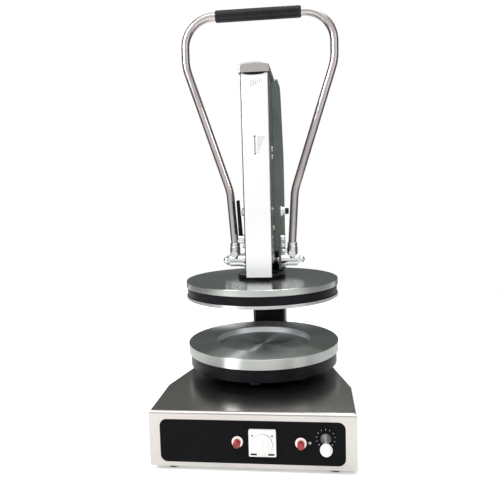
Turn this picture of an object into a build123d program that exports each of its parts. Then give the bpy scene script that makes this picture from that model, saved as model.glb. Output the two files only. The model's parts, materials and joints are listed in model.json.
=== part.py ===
from build123d import *
import math
import os

# Hand press that flattens balls of pizza dough between a fixed lower platen and a
# sliding upper one. Millimetres, +X to the right, +Y to the rear, +Z up. The origin
# lies on the bench below the middle of the whole press.

# Base
BASE_WIDTH = 370.0
BASE_REAR_WIDTH = 184.0
BASE_DEPTH = 520.0
BASE_STRAIGHT = 139.0
BASE_HEIGHT = 102.0
BASE_BEND = 6.0
SHEET = 1.5
LEDGE_W = 22.0
FRONT_Y = -238.5
FOOT_D = 28.0
FOOT_H = 10.0
FOOT_TAPER = 2.0
FOOT_STUD_D = 6.0
FOOT_STUD_L = 14.0
FOOT_INSET_X = 38.0
FOOT_INSET_Y = 26.0
FOOT_REAR_INSET = 24.0
COVER_SHEET = 1.2
COVER_INSET = 2.0
COVER_EDGE = 14.0
COVER_SLOT_COUNT = 8
COVER_SLOT_PITCH = 16.0
COVER_SLOT_W = 4.0
COVER_SLOT_L = 60.0
COVER_SLOT_FRONT = 110.0
SCREW_D = 4.0
SCREW_HEAD_D = 8.0
SCREW_HEAD_H = 2.6
SCREW_LENGTH = 8.0
SCREW_SLOT_W = 1.0
SCREW_REAR_RUN = 90.0
VENT_COUNT = 9
VENT_PITCH = 12.0
VENT_X = 20.0
VENT_SIZE = (3.0, 40.0)
GLAND_X = -46.0
GLAND_Z = 44.0
GLAND_D = 16.0
GLAND_BORE = 9.0
GLAND_OUT = 12.0
GLAND_FLANGE_T = 4.0
GLAND_NECK_L = 12.0
GLAND_NUT_T = 5.0
SUPPORT_T = 6.0
SUPPORT_FRONT = 140.0
SUPPORT_RIB_H = 30.0
COLUMN_SLOT_GAP = 0.5

# Electrical parts in the base
BLOCK_W = 52.0
BLOCK_L = 24.0
BLOCK_H = 20.0
BLOCK_BACK = 60.0
BLOCK_POLES = 5
BLOCK_PITCH = 10.0
BLOCK_HOLE_D = 5.0
BLOCK_EDGE = 6.0
RELAY_X = 40.0
RELAY_BACK = 20.0
RELAY_W = 45.0
RELAY_L = 58.0
RELAY_H = 46.0
RELAY_STEP_H = 10.0
RELAY_EDGE = 6.0
THERMOSTAT_W = 44.0
THERMOSTAT_H = 36.0
THERMOSTAT_L = 33.0
THERMOSTAT_COLLAR_D = 16.0
THERMOSTAT_COLLAR_T = 3.0
THERMOSTAT_TAB_X = 9.0
THERMOSTAT_TAB_T = 3.0
THERMOSTAT_TAB_H = 6.0
TAB_L = 8.0

# Platens
PRESS_SETBACK = 272.0
PLATEN_D = 330.0
SHROUD_D = 322.0
LOWER_TOP_Z = 173.6
LOWER_THICK = 21.0
LOWER_SHROUD_H = 26.6
RECESS_D = 209.0
RECESS_DEPTH = 12.0
PLATEN_GAP = 98.6
PLATEN_CHAMFER = 1.0
PRESS_PLATE_THICK = 6.4
PRESS_PLATE_BOSS_GAP = 12.0
PRESS_PLATE_BOSS_H = 4.0
UPPER_SHROUD_H = 18.5
UPPER_SHROUD_D = 326.0
UPPER_RIM_H = 13.0
SHROUD_WALL = 2.0
DISH_SHEET = 4.0
DISH_EDGE_R = 1.2
HEATER_D = 216.0
HEATER_ROD = 8.0
HEATER_CLAMP_OUT = 10.0
HEATER_CLAMP_IN = 40.0
HEATER_CLAMP_T = 2.0
PEDESTAL_R = 120.0
PEDESTAL_POST_D = 24.0
PEDESTAL_BOLT_D = 8.0
PEDESTAL_BOLT_HEAD = 13.0
PEDESTAL_BOLT_HEAD_H = 5.5
PEDESTAL_BOLT_GRIP = 10.0
STROKE = 96.0

# Drive
PIVOT_BACK = 58.0
PIVOT_Z = 342.0
GEAR_MODULE = 2.5
GEAR_TEETH = 40
GEAR_WIDTH = 16.0
BACKLASH = 0.35
SECTOR_LEAD = 8.0
SECTOR_TAIL = 124.0
SECTOR_HUB_D = 34.0
SECTOR_HUB_W = 36.0
RACK_D = 36.0
RACK_TOP_Z = 712.0
RACK_TEETH_LOW = 2
RACK_TEETH_HIGH = 14
RACK_FLAT_RUN = 40.0
SHAFT_D = 20.0
SHAFT_HALF = 84.0
SHAFT_END_D = 12.0
FIT = 0.05
CLEAR = 0.3
BEARING_OD = 26.0
BEARING_FLANGE_D = 34.0
BEARING_FLANGE_T = 5.0
BEARING_INNER_REACH = 3.0
HUB_D = 104.0
HUB_H = 10.0
HUB_CHAMFER = 2.0
HUB_BOLT_D = 8.0
HUB_BOLT_R = 38.0
HUB_BOLT_HEAD_D = 13.0
HUB_BOLT_HEAD_H = 5.0
HUB_BOLT_SEAT_D = 14.0
HUB_BOLT_SOCKET = 6.0
HUB_BOLT_SOCKET_DEPTH = 3.0
LOWER_GUIDE_Z = 388.0
UPPER_GUIDE_Z = 560.0
GUIDE_H = 40.0
GUIDE_HALF_Y = 26.0
GUIDE_SCREW_D = 8.0
GUIDE_SCREW_HEAD_D = 13.0
GUIDE_SCREW_HEAD_H = 1.6
GUIDE_SCREW_GRIP = 3.5
GUIDE_SCREW_DROP = 10.0
GUIDE_SCREW_EDGE = 12.0
BUSH_WALL = 4.0
CROSSHEAD_T = 12.0
CROSSHEAD_EDGE = 4.0
CROSSHEAD_FRONT = 10.0
CROSSHEAD_REAR = 22.0
CROSSHEAD_R = 5.0
CROSSHEAD_NUT = 17.0
CROSSHEAD_NUT_H = 8.0
COLLAR_H = 14.0
COLLAR_D = 48.0
STOP_ARM_T = 6.0
STOP_ARM_GAP = 4.0
STOP_ARM_BACK = 2.0
STOP_ARM_EDGE = 12.0
GAS_FRONT = 40.0
GAS_BODY_D = 20.0
GAS_ROD_D = 8.0
GAS_BODY_Z = 432.0
GAS_BODY_H = 130.0
GAS_ROD_IN = 22.0
GAS_END_T = 6.0
GAS_NUT = 13.0
BRACKET_T = 8.0

# Head and column
HEAD_WIDTH = 58.0
HEAD_WALL = 3.0
HEAD_FRONT = 60.0
HEAD_REAR = 75.0
HEAD_BOTTOM_Z = 348.0
HEAD_TOP_Z = 738.0
HEAD_CORNER_R = 4.0
SHAFT_WINDOW = 22.0
PANEL_T = 2.0
PANEL_MARGIN = 2.0
PANEL_BOTTOM_Z = 319.0
PANEL_EDGE_R = 1.2
CAP_RISE = 21.0
CAP_CROWN = 4.0
CAP_CORNER_R = 8.0
CAP_SIDE = 2.5
CAP_OVERHANG = 6.0
CAP_WALL = 2.0
CAP_REAR = 92.0
CAP_NOSE_R = 3.0
FRAME_GAP = 72.0
FRAME_T = 5.0
FRAME_FRONT = 35.0
FRAME_LOW_Z = 322.0
FRAME_SHOULDER_Z = 585.0
FRAME_TOP_BACK = 140.0
FRAME_TOP_Z = 741.0
FRAME_TOP_R = 46.0
THROAT_R = 8.0
COLUMN_FRONT = 172.0
COLUMN_REAR = 232.0
COLUMN_COVER_T = 2.0
COLUMN_COVER_SET = 4.0
COLUMN_COVER_GAP = 6.0
REAR_COVER_T = 2.0
FRAME_BOLT_D = 10.0
FRAME_BOLT_HEAD = 16.0
FRAME_BOLT_HEAD_H = 6.4
FRAME_NUT_H = 8.0
FRAME_BOLT_SPREAD = 20.0
SPACER_BOLT_HEAD = 12.0
SPACER_BOLT_HEAD_H = 6.0
SPACER_WASHER_D = 16.0
SPACER_WASHER_T = 1.5
SPACER_BOLT_BACK = 8.0
SPACER_BOLT_RISE = (34.5, 48.5)
STUD_DROP = 26.0
STUD_SOCKET = 5.0
STUD_SOCKET_DEPTH = 4.0
THROUGH_BACK = 62.0
THROUGH_Z = 453.0
THROUGH_HEAD = 16.0
THROUGH_HEAD_H = 7.0
THROUGH_NUT_H = 8.0
THROUGH_WASHER_D = 22.0
THROUGH_WASHER_T = 2.0
THROUGH_END_LEFT = 8.0
THROUGH_END_RIGHT = 14.0
BOLT_CAP_D = 14.0
BOLT_CAP_L = 8.0
BOLT_CAP_GRIP = 4.0
LOCK_BACK = 43.0
LOCK_Z = 392.0
LOCK_D = 10.0
LOCK_HEAD_D = 18.0
LOCK_HEAD_T = 5.0
LOCK_WASHER_D = 20.0
LOCK_WASHER_T = 1.5
STOP_PIN_D = 9.0
STOP_PIN_BACK = 8.0
STOP_PIN_RISE = 20.5
LEVER_HUB_L = 15.0
LEVER_HUB_D = 20.0
LEVER_BAR_L = 72.0
LEVER_TIP_L = 6.0
LEVER_FOOT = (9.0, 14.0, 4.0)
LEVER_END = (7.0, 12.0, 3.0)
LEVER_OUT = 9.0
LEVER_LEAN = 4.0

# Handle
TUBE_D = 18.0
TUBE_WALL = 2.0
GRIP_D = 26.0
GRIP_HALF = 95.0
GRIP_END_R = 3.0
HANDLE_TOP_Z = 888.0
ARM_WIDE_X = 166.0
ARM_BEND_DROP = 107.0
ARM_KNEE_X = 73.8
ARM_KNEE_Z = 499.0
ARM_FOOT_X = 66.0
TUBE_FOOT_Z = 356.0
FOOT_STRAIGHT = 24.0
FOOT_BEND_R = 60.0
TOP_BEND_R = 66.0
SIDE_BEND_R = 110.0
KNUCKLE_D = 28.0
KNUCKLE_IN = 54.0
KNUCKLE_OUT = 78.0
SOCKET_WALL = 2.8
SOCKET_H = 30.0
SOCKET_CUT_H = 40.0
BOSS_D = 15.0
BOSS_OUT = 18.0
BOSS_RISE = 16.0
CLAMP_HEAD_D = 13.0
CLAMP_HEAD_H = 4.0
CLAMP_SOCKET_R = 3.0
CLAMP_SOCKET_DEPTH = 3.0
STOP_RING_WALL = 5.0
STOP_FINGER_W = 4.5
STOP_FINGER_T = 8.0
DOME_ACROSS = 19.0
DOME_FLATS_H = 8.0
DOME_R = 8.0

# Front panel pieces
PANEL_Z = 58.5
OVERLAY_MARGIN = 20.0
OVERLAY_BOTTOM = 18.0
OVERLAY_TOP = 97.0
OVERLAY_R = 13.0
OVERLAY_T = 0.5
KNOB_INSET = 54.5
LAMP_RIGHT_INSET = 97.5
TIMER_INSET = 164.7
LAMP_LEFT_INSET = 209.5
LAMP_D = 20.0
LAMP_HOLE_D = 12.0
LAMP_BEZEL_T = 3.0
LAMP_BEZEL_R = 1.2
LAMP_NECK_D = 11.6
LAMP_BACK = 26.0
LAMP_NUT_D = 18.0
LAMP_NUT_T = 5.0
LAMP_CAP_L = 8.0
LAMP_TAB_X = 3.0
LAMP_TAB_T = 1.0
LAMP_TAB_H = 4.8
LENS_D = 13.0
LENS_OUT = 12.0
LENS_EDGE_R = 2.0
LENS_SPIGOT_D = 9.0
LENS_SPIGOT_L = 12.0
TIMER_SIZE = 48.0
TIMER_OUT = 7.0
TIMER_HOLE = 44.0
TIMER_DEPTH = 62.0
TIMER_CORNER_R = 2.0
TIMER_BEVEL = 0.8
TIMER_WELL = 2.0
TIMER_SHAFT_HOLE = 8.0
WINDOW_X = 16.0
WINDOW_Z = 13.0
WINDOW_SIZE = (5.0, 4.0)
WINDOW_DEPTH = 0.6
DIAL_D = 34.0
DIAL_OUT = 9.0
DIAL_RIM_T = 3.0
DIAL_SHAFT_D = 6.0
DIAL_SHAFT_IN = 6.0
DIAL_STEP = 5.0
DIAL_EDGE_R = 1.0
POINTER_W = 2.4
POINTER_H = 1.5
POINTER_LOW = 7.0
POINTER_HIGH = 6.0
KNOB_Z = 68.0
KNOB_BALL_D = 21.0
KNOB_OUT = 44.0
KNOB_HOLE_D = 10.0
KNOB_SKIRT_D = 18.0
KNOB_SKIRT_T = 2.4
KNOB_TAPER_L = 14.0
KNOB_WAIST_D = 8.5
KNOB_FLARE = 1.6
KNOB_RING_D = 11.0
KNOB_RING_T = 1.6
KNOB_RING_BACK = 5.0
KNOB_SEAT = 1.2
KNOB_SHAFT_D = 6.0
KNOB_SHAFT_IN = 14.0
KNOB_MARK_W = 1.6
KNOB_MARK_L = 8.0
KNOB_MARK_PROUD = 0.6

# Values that follow from the sizes above
PRESS_Y = FRONT_Y + PRESS_SETBACK
REAR_Y = FRONT_Y + BASE_DEPTH
FACE_Y = FRONT_Y - OVERLAY_T
BASE_TOP_Z = FOOT_H + BASE_HEIGHT
FLOOR_Z = FOOT_H
OVERLAY_W = BASE_WIDTH - 2 * OVERLAY_MARGIN
KNOB_X = BASE_WIDTH / 2 - KNOB_INSET
LAMP_RIGHT_X = BASE_WIDTH / 2 - LAMP_RIGHT_INSET
TIMER_X = BASE_WIDTH / 2 - TIMER_INSET
LAMP_LEFT_X = BASE_WIDTH / 2 - LAMP_LEFT_INSET
LOWER_BOTTOM_Z = LOWER_TOP_Z - LOWER_THICK
LOWER_SHROUD_Z = LOWER_BOTTOM_Z - LOWER_SHROUD_H
UPPER_Z = LOWER_TOP_Z + PLATEN_GAP
PRESS_PLATE_BOSS_D = UPPER_SHROUD_D - 2 * (SHROUD_WALL + PRESS_PLATE_BOSS_GAP)
UPPER_SHROUD_Z = UPPER_Z + PRESS_PLATE_THICK
UPPER_COVER_Z = UPPER_SHROUD_Z + UPPER_SHROUD_H
UPPER_TOP_Z = UPPER_COVER_Z + UPPER_RIM_H
HUB_TOP_Z = UPPER_TOP_Z + HUB_H
PIVOT_Y = PRESS_Y + PIVOT_BACK
PITCH_R = GEAR_MODULE * GEAR_TEETH / 2
TIP_R = PITCH_R + GEAR_MODULE
ROOT_R = PITCH_R - 1.25 * GEAR_MODULE
RACK_PITCH_Y = PIVOT_Y - PITCH_R
RACK_BOTTOM_Z = UPPER_SHROUD_Z + PRESS_PLATE_BOSS_H
FLAT_TOP_Z = PIVOT_Z + STROKE + RACK_FLAT_RUN
PRESSURE_ANGLE = math.radians(20)
FRAME_INNER = FRAME_GAP / 2
FRAME_OUTER = FRAME_INNER + FRAME_T
HEAD_INNER = HEAD_WIDTH / 2 - HEAD_WALL
FIT_D = 2 * FIT
STOP_PIN_Y = PIVOT_Y + STOP_PIN_BACK
STOP_PIN_Z = PIVOT_Z + STOP_PIN_RISE
GAS_Y = PRESS_Y - GAS_FRONT
COLLAR_Z = LOWER_GUIDE_Z + GUIDE_H + STOP_ARM_T + STOP_ARM_GAP + STROKE
ARM_BEND_Z = HANDLE_TOP_Z - ARM_BEND_DROP
SIDES = (-1, 1)



def box(x0, x1, y0, y1, z0, z1):
    """A block between two corners."""
    size = (x1 - x0, y1 - y0, z1 - z0)
    middle = ((x0 + x1) / 2, (y0 + y1) / 2, (z0 + z1) / 2)
    return Pos(*middle) * Box(*size)


def disc(x, y, z, diameter, height):
    """An upright cylinder that stands on z."""
    return Pos(x, y, z + height / 2) * Cylinder(diameter / 2, height)


def bar_x(x0, x1, y, z, diameter):
    """A round bar along X from x0 to x1."""
    return Pos((x0 + x1) / 2, y, z) * Rot(0, 90, 0) * Cylinder(diameter / 2, abs(x1 - x0))


def bar_y(x, y0, y1, z, diameter):
    """A round bar along Y from y0 to y1."""
    return Pos(x, (y0 + y1) / 2, z) * Rot(90, 0, 0) * Cylinder(diameter / 2, abs(y1 - y0))


def tube_x(x0, x1, y, z, outer, inner):
    """A bush along X."""
    return bar_x(x0, x1, y, z, outer) - bar_x(x0, x1, y, z, inner)


def ring(x, y, z, outer, inner, height):
    """An upright ring that stands on z."""
    return disc(x, y, z, outer, height) - disc(x, y, z, inner, height)


def hex_z(x, y, z, across, height):
    """A hexagon head or nut that stands on z."""
    return Pos(x, y, z) * extrude(RegularPolygon(across / 2, 6, major_radius=False), height)


def hex_x(x, y, z, across, height):
    """A hexagon head along X that starts at x and grows away from the middle plane."""
    side = 1 if height > 0 else -1
    blank = extrude(RegularPolygon(across / 2, 6, major_radius=False), abs(height))
    return Pos(x, y, z) * Rot(0, 90 * side, 0) * blank


def along_x(face, x0, x1):
    """Extrude a face drawn in Y and Z from x0 to x1."""
    plane = Plane(origin=(x0, 0, 0), x_dir=(0, 1, 0), z_dir=(1, 0, 0))
    return extrude(plane * face, x1 - x0)


def side_profile(points, x0, x1):
    """A plate along X whose outline is given as points in Y and Z."""
    return along_x(make_face(Polyline(*points, close=True)), x0, x1)


def save(name, shape):
    """Write one named piece."""
    shape.label = name
    export_step(shape, "parts/" + name + ".step")


def group(shapes):
    """Separate solids kept together as one named piece."""
    solids = [solid for shape in shapes for solid in shape.solids()]
    return Compound(children=solids)


def base_outline(inset):
    """Outline of the base from above: a rectangle in front that narrows to the rear."""
    half = BASE_WIDTH / 2
    rear_half = BASE_REAR_WIDTH / 2
    bend_y = FRONT_Y + BASE_STRAIGHT
    corners = [(-half, FRONT_Y), (half, FRONT_Y), (half, bend_y)]
    corners += [(rear_half, REAR_Y), (-rear_half, REAR_Y), (-half, bend_y)]
    face = make_face(Polyline(*corners, close=True))
    if inset > 0:
        face = offset(face, -inset, kind=Kind.INTERSECTION)
    return face


def base_prism(inset, z0, z1):
    """A prism with the base's outline, drawn in by an inset."""
    return extrude(Pos(0, 0, z0) * base_outline(inset), z1 - z0)


def pedestal_places():
    """The four posts that carry the lower platen."""
    places = []
    for turn in range(4):
        angle = math.radians(45 + 90 * turn)
        places.append((PEDESTAL_R * math.cos(angle), PRESS_Y + PEDESTAL_R * math.sin(angle)))
    return places


def foot_places():
    """The four feet, two in front and two nearer together at the rear."""
    front_x = BASE_WIDTH / 2 - FOOT_INSET_X
    rear_x = BASE_REAR_WIDTH / 2 - FOOT_REAR_INSET
    front_y = FRONT_Y + FOOT_INSET_Y
    rear_y = REAR_Y - FOOT_REAR_INSET
    return [(-front_x, front_y), (front_x, front_y), (-rear_x, rear_y), (rear_x, rear_y)]


def cover_screw_places():
    """Screws along the bottom cover."""
    side = BASE_WIDTH / 2 - COVER_EDGE
    rear_side = BASE_REAR_WIDTH / 2 - COVER_EDGE + COVER_INSET
    middle_y = FRONT_Y + BASE_STRAIGHT - SCREW_LENGTH - COVER_INSET
    rear_y = REAR_Y - SCREW_REAR_RUN
    places = [(-side, middle_y), (side, middle_y)]
    places += [(0, FRONT_Y + COVER_EDGE), (0, REAR_Y - COVER_EDGE)]
    places += [(-rear_side, rear_y), (rear_side, rear_y)]
    return places


def column_slot(z0, z1):
    """Space where the column passes through the top of the base."""
    half = FRAME_OUTER + COLUMN_SLOT_GAP
    front = PRESS_Y + COLUMN_FRONT - REAR_COVER_T - COLUMN_SLOT_GAP
    return box(-half, half, front, PRESS_Y + COLUMN_REAR + REAR_COVER_T + COLUMN_SLOT_GAP, z0, z1)


def base_shell():
    """Folded sheet that makes the top, the front, the sides and a ledge at the bottom."""
    outer = base_prism(0, FOOT_H, BASE_TOP_Z)
    top_edges = outer.edges().filter_by(Axis.Z, reverse=True).group_by(Axis.Z)[-1]
    outer = fillet(top_edges, BASE_BEND)
    inner = base_prism(SHEET, FOOT_H + SHEET, BASE_TOP_Z - SHEET)
    inner_top = inner.edges().filter_by(Axis.Z, reverse=True).group_by(Axis.Z)[-1]
    inner = fillet(inner_top, BASE_BEND - SHEET)
    shell = outer - inner - base_prism(LEDGE_W, FOOT_H, FOOT_H + SHEET)
    shell -= column_slot(BASE_TOP_Z - 2 * SHEET, BASE_TOP_Z)
    front_y0 = FRONT_Y - SHEET
    front_y1 = FRONT_Y + 2 * SHEET
    for x in (LAMP_LEFT_X, LAMP_RIGHT_X):
        shell -= bar_y(x, front_y0, front_y1, PANEL_Z, LAMP_HOLE_D)
    half = TIMER_HOLE / 2
    shell -= box(TIMER_X - half, TIMER_X + half, front_y0, front_y1, PANEL_Z - half, PANEL_Z + half)
    shell -= bar_y(KNOB_X, front_y0, front_y1, KNOB_Z, KNOB_HOLE_D)
    shell -= bar_y(GLAND_X, REAR_Y - 2 * SHEET, REAR_Y + SHEET, GLAND_Z, GLAND_D + FIT_D)
    for x, y in pedestal_places():
        shell -= disc(x, y, BASE_TOP_Z - 2 * SHEET, PEDESTAL_BOLT_D + 1.0, 3 * SHEET)
    width, height = VENT_SIZE
    for index in range(VENT_COUNT):
        x = (index - (VENT_COUNT - 1) / 2) * VENT_PITCH + VENT_X
        z = FOOT_H + BASE_HEIGHT / 2
        shell -= box(x - width / 2, x + width / 2, REAR_Y - 2 * SHEET, REAR_Y + SHEET,
                     z - height / 2, z + height / 2)
    for x, y in cover_screw_places():
        shell -= disc(x, y, FOOT_H - SHEET, SCREW_D, 3 * SHEET)
    for x, y in foot_places():
        shell -= disc(x, y, FOOT_H - SHEET, FOOT_STUD_D, 3 * SHEET)
    return shell


def bottom_cover():
    """Flat sheet that closes the base from below, held by screws."""
    cover = base_prism(COVER_INSET, FOOT_H - COVER_SHEET, FOOT_H)
    low = FOOT_H - 2 * COVER_SHEET
    for x, y in cover_screw_places():
        cover -= disc(x, y, low, SCREW_D, 3 * COVER_SHEET)
    for x, y in foot_places():
        cover -= disc(x, y, low, FOOT_STUD_D, 3 * COVER_SHEET)
    slot_y = PRESS_Y - COVER_SLOT_FRONT
    for index in range(COVER_SLOT_COUNT):
        x = (index - (COVER_SLOT_COUNT - 1) / 2) * COVER_SLOT_PITCH
        cover -= box(x - COVER_SLOT_W / 2, x + COVER_SLOT_W / 2, slot_y, slot_y + COVER_SLOT_L,
                     low, FOOT_H + COVER_SHEET)
    return cover


def cover_screws():
    """Pan-head screws of the bottom cover."""
    screws = []
    z = FOOT_H - COVER_SHEET
    half_slot = SCREW_SLOT_W / 2
    for x, y in cover_screw_places():
        head = disc(x, y, z - SCREW_HEAD_H, SCREW_HEAD_D, SCREW_HEAD_H)
        shank = disc(x, y, z, SCREW_D, SCREW_LENGTH)
        slot = box(x - SCREW_HEAD_D, x + SCREW_HEAD_D, y - half_slot, y + half_slot,
                   z - SCREW_HEAD_H, z - SCREW_HEAD_H + SCREW_SLOT_W)
        screws.append(head + shank - slot)
    return group(screws)


def rubber_feet():
    """Tapered rubber feet with a steel stud moulded in."""
    feet = []
    height = FOOT_H - COVER_SHEET
    for x, y in foot_places():
        pad = Pos(x, y, height / 2) * Cone(FOOT_D / 2 - FOOT_TAPER, FOOT_D / 2, height)
        stud = disc(x, y, height, FOOT_STUD_D, FOOT_STUD_L)
        feet.append(pad + stud)
    return group(feet)


def panel_overlay():
    """Thin black panel on the front with openings for what comes through it."""
    middle_z = (OVERLAY_BOTTOM + OVERLAY_TOP) / 2
    plane = Plane(origin=(0, FRONT_Y, middle_z), x_dir=(1, 0, 0), z_dir=(0, -1, 0))
    sheet = RectangleRounded(OVERLAY_W, OVERLAY_TOP - OVERLAY_BOTTOM, OVERLAY_R)
    overlay = extrude(plane * sheet, OVERLAY_T)
    y0 = FRONT_Y - 2 * OVERLAY_T
    for x in (LAMP_LEFT_X, LAMP_RIGHT_X):
        overlay -= bar_y(x, y0, FRONT_Y, PANEL_Z, LAMP_HOLE_D)
    half = TIMER_HOLE / 2
    overlay -= box(TIMER_X - half, TIMER_X + half, y0, FRONT_Y, PANEL_Z - half, PANEL_Z + half)
    overlay -= bar_y(KNOB_X, y0, FRONT_Y, KNOB_Z, KNOB_HOLE_D)
    return overlay


def lamp_bezels():
    """Round white bezels with a neck through the panel."""
    bezels = []
    front = FACE_Y - LAMP_BEZEL_T
    end = FRONT_Y + LAMP_BACK
    for x in (LAMP_LEFT_X, LAMP_RIGHT_X):
        flange = bar_y(x, front, FACE_Y, PANEL_Z, LAMP_D)
        flange = fillet(flange.edges().group_by(Axis.Y)[0], LAMP_BEZEL_R)
        neck = bar_y(x, FACE_Y, end, PANEL_Z, LAMP_NECK_D)
        bore = bar_y(x, front, end, PANEL_Z, LENS_SPIGOT_D)
        bezels.append(flange + neck - bore)
    return group(bezels)


def lamp_lenses():
    """Red lenses that stand out of the bezels."""
    lenses = []
    back = FACE_Y - LAMP_BEZEL_T
    for x in (LAMP_LEFT_X, LAMP_RIGHT_X):
        lens = bar_y(x, back - LENS_OUT, back, PANEL_Z, LENS_D)
        lens = fillet(lens.edges().group_by(Axis.Y)[0], LENS_EDGE_R)
        spigot = bar_y(x, back, back + LENS_SPIGOT_L, PANEL_Z, LENS_SPIGOT_D - FIT_D)
        lenses.append(lens + spigot)
    return group(lenses)


def terminal_pair(x, spread, thickness, height, y, z):
    """Two flat terminals side by side behind an electrical part."""
    outer = spread + thickness
    left = box(x - outer, x - spread, y, y + TAB_L, z - height / 2, z + height / 2)
    return left + box(x + spread, x + outer, y, y + TAB_L, z - height / 2, z + height / 2)


def lamp_bodies():
    """Nuts and neon tubes behind the panel."""
    bodies = []
    y = FRONT_Y + SHEET
    end = FRONT_Y + LAMP_BACK
    for x in (LAMP_LEFT_X, LAMP_RIGHT_X):
        nut = bar_y(x, y, y + LAMP_NUT_T, PANEL_Z, LAMP_NUT_D)
        bodies.append(nut - bar_y(x, y, y + LAMP_NUT_T, PANEL_Z, LAMP_NECK_D))
        cap = bar_y(x, end, end + LAMP_CAP_L, PANEL_Z, LAMP_NECK_D)
        bodies.append(cap + terminal_pair(x, LAMP_TAB_X, LAMP_TAB_T, LAMP_TAB_H, end + LAMP_CAP_L, PANEL_Z))
    return group(bodies)


def timer_case():
    """Square timer with a front frame and a body behind the panel."""
    half = TIMER_SIZE / 2
    front_y = FACE_Y - TIMER_OUT
    front = box(TIMER_X - half, TIMER_X + half, front_y, FACE_Y, PANEL_Z - half, PANEL_Z + half)
    front = fillet(front.edges().filter_by(Axis.Y), TIMER_CORNER_R)
    front = chamfer(front.faces().sort_by(Axis.Y)[0].edges(), TIMER_BEVEL)
    body_half = TIMER_HOLE / 2 - CLEAR
    body = box(TIMER_X - body_half, TIMER_X + body_half, FACE_Y, FRONT_Y + TIMER_DEPTH,
               PANEL_Z - body_half, PANEL_Z + body_half)
    case = front + body
    case -= bar_y(TIMER_X, front_y, front_y + TIMER_WELL, PANEL_Z, DIAL_D + TIMER_WELL)
    case -= bar_y(TIMER_X, front_y, FACE_Y + TIMER_SHAFT_HOLE, PANEL_Z, DIAL_SHAFT_D + FIT_D)
    width, height = WINDOW_SIZE
    for side in SIDES:
        x0 = TIMER_X + min(side * WINDOW_X, side * (WINDOW_X + width))
        case -= box(x0, x0 + width, front_y, front_y + WINDOW_DEPTH, PANEL_Z + WINDOW_Z,
                    PANEL_Z + WINDOW_Z + height)
    return case


def timer_dial():
    """Setting dial of the timer, with a raised pointer and a short shaft."""
    back = FACE_Y - TIMER_OUT + TIMER_WELL - CLEAR
    face = back - DIAL_OUT
    dial = bar_y(TIMER_X, face + DIAL_RIM_T, back, PANEL_Z, DIAL_D)
    grip = bar_y(TIMER_X, face, face + DIAL_RIM_T, PANEL_Z, DIAL_D - 2 * DIAL_STEP)
    grip = fillet(grip.edges().group_by(Axis.Y)[0], DIAL_EDGE_R)
    half = POINTER_W / 2
    pointer = box(TIMER_X - half, TIMER_X + half, face - POINTER_H, face,
                  PANEL_Z - DIAL_D / 2 + POINTER_LOW, PANEL_Z + DIAL_D / 2 - POINTER_HIGH)
    shaft = bar_y(TIMER_X, back, FACE_Y + DIAL_SHAFT_IN, PANEL_Z, DIAL_SHAFT_D)
    return dial + grip + pointer + shaft


def knob_neck():
    """Flared chrome neck of the control knob, turned from one bar, with its shaft."""
    ball_back = KNOB_OUT - KNOB_BALL_D / 2 + KNOB_SEAT
    ring_in = ball_back - KNOB_RING_BACK
    ring_out = ring_in + KNOB_RING_T
    skirt = KNOB_SKIRT_D / 2
    waist = KNOB_WAIST_D / 2
    ring_r = KNOB_RING_D / 2
    outline = Polyline((0, CLEAR), (skirt, CLEAR), (skirt, KNOB_SKIRT_T))
    taper = Spline((skirt, KNOB_SKIRT_T), (waist + KNOB_FLARE, KNOB_TAPER_L), (waist, ring_in),
                   tangents=[(-0.3, 1.0), (0, 1)])
    top = Polyline((waist, ring_in), (ring_r, ring_in), (ring_r, ring_out), (waist, ring_out),
                   (waist, ball_back), (0, ball_back), (0, CLEAR))
    turned = revolve(Plane.XY * make_face(outline + taper + top), Axis.Y)
    neck = Pos(KNOB_X, FACE_Y, KNOB_Z) * Rot(0, 0, 180) * turned
    shaft = bar_y(KNOB_X, FACE_Y - CLEAR, FRONT_Y + KNOB_SHAFT_IN, KNOB_Z, KNOB_SHAFT_D)
    return neck + shaft


def knob_ball():
    """White ball on the end of the knob with a small flat and a raised mark."""
    radius = KNOB_BALL_D / 2
    middle_y = FACE_Y - KNOB_OUT
    ball = Pos(KNOB_X, middle_y, KNOB_Z) * Sphere(radius)
    seat_y = middle_y + radius - KNOB_SEAT
    ball -= bar_y(KNOB_X, seat_y, seat_y + radius, KNOB_Z, KNOB_BALL_D)
    half = KNOB_MARK_W / 2
    mark_y = middle_y - 0.75 * KNOB_MARK_L
    top = KNOB_Z + radius
    mark = box(KNOB_X - half, KNOB_X + half, mark_y, mark_y + KNOB_MARK_L,
               top - POINTER_W, top + KNOB_MARK_PROUD)
    return ball + mark


def thermostat():
    """Capillary thermostat behind the knob, bolted to the front sheet."""
    y = FRONT_Y + SHEET
    front = y + THERMOSTAT_COLLAR_T
    back = front + THERMOSTAT_L
    half_w = THERMOSTAT_W / 2
    half_h = THERMOSTAT_H / 2
    body = box(KNOB_X - half_w, KNOB_X + half_w, front, back, KNOB_Z - half_h, KNOB_Z + half_h)
    body = fillet(body.edges().filter_by(Axis.Y), THERMOSTAT_COLLAR_T)
    collar = bar_y(KNOB_X, y, front, KNOB_Z, THERMOSTAT_COLLAR_D)
    bore = bar_y(KNOB_X, y - SHEET, FRONT_Y + KNOB_SHAFT_IN + CLEAR, KNOB_Z, KNOB_SHAFT_D + FIT_D)
    tabs = terminal_pair(KNOB_X, THERMOSTAT_TAB_X, THERMOSTAT_TAB_T, THERMOSTAT_TAB_H, back, KNOB_Z)
    return body + collar + tabs - bore


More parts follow.
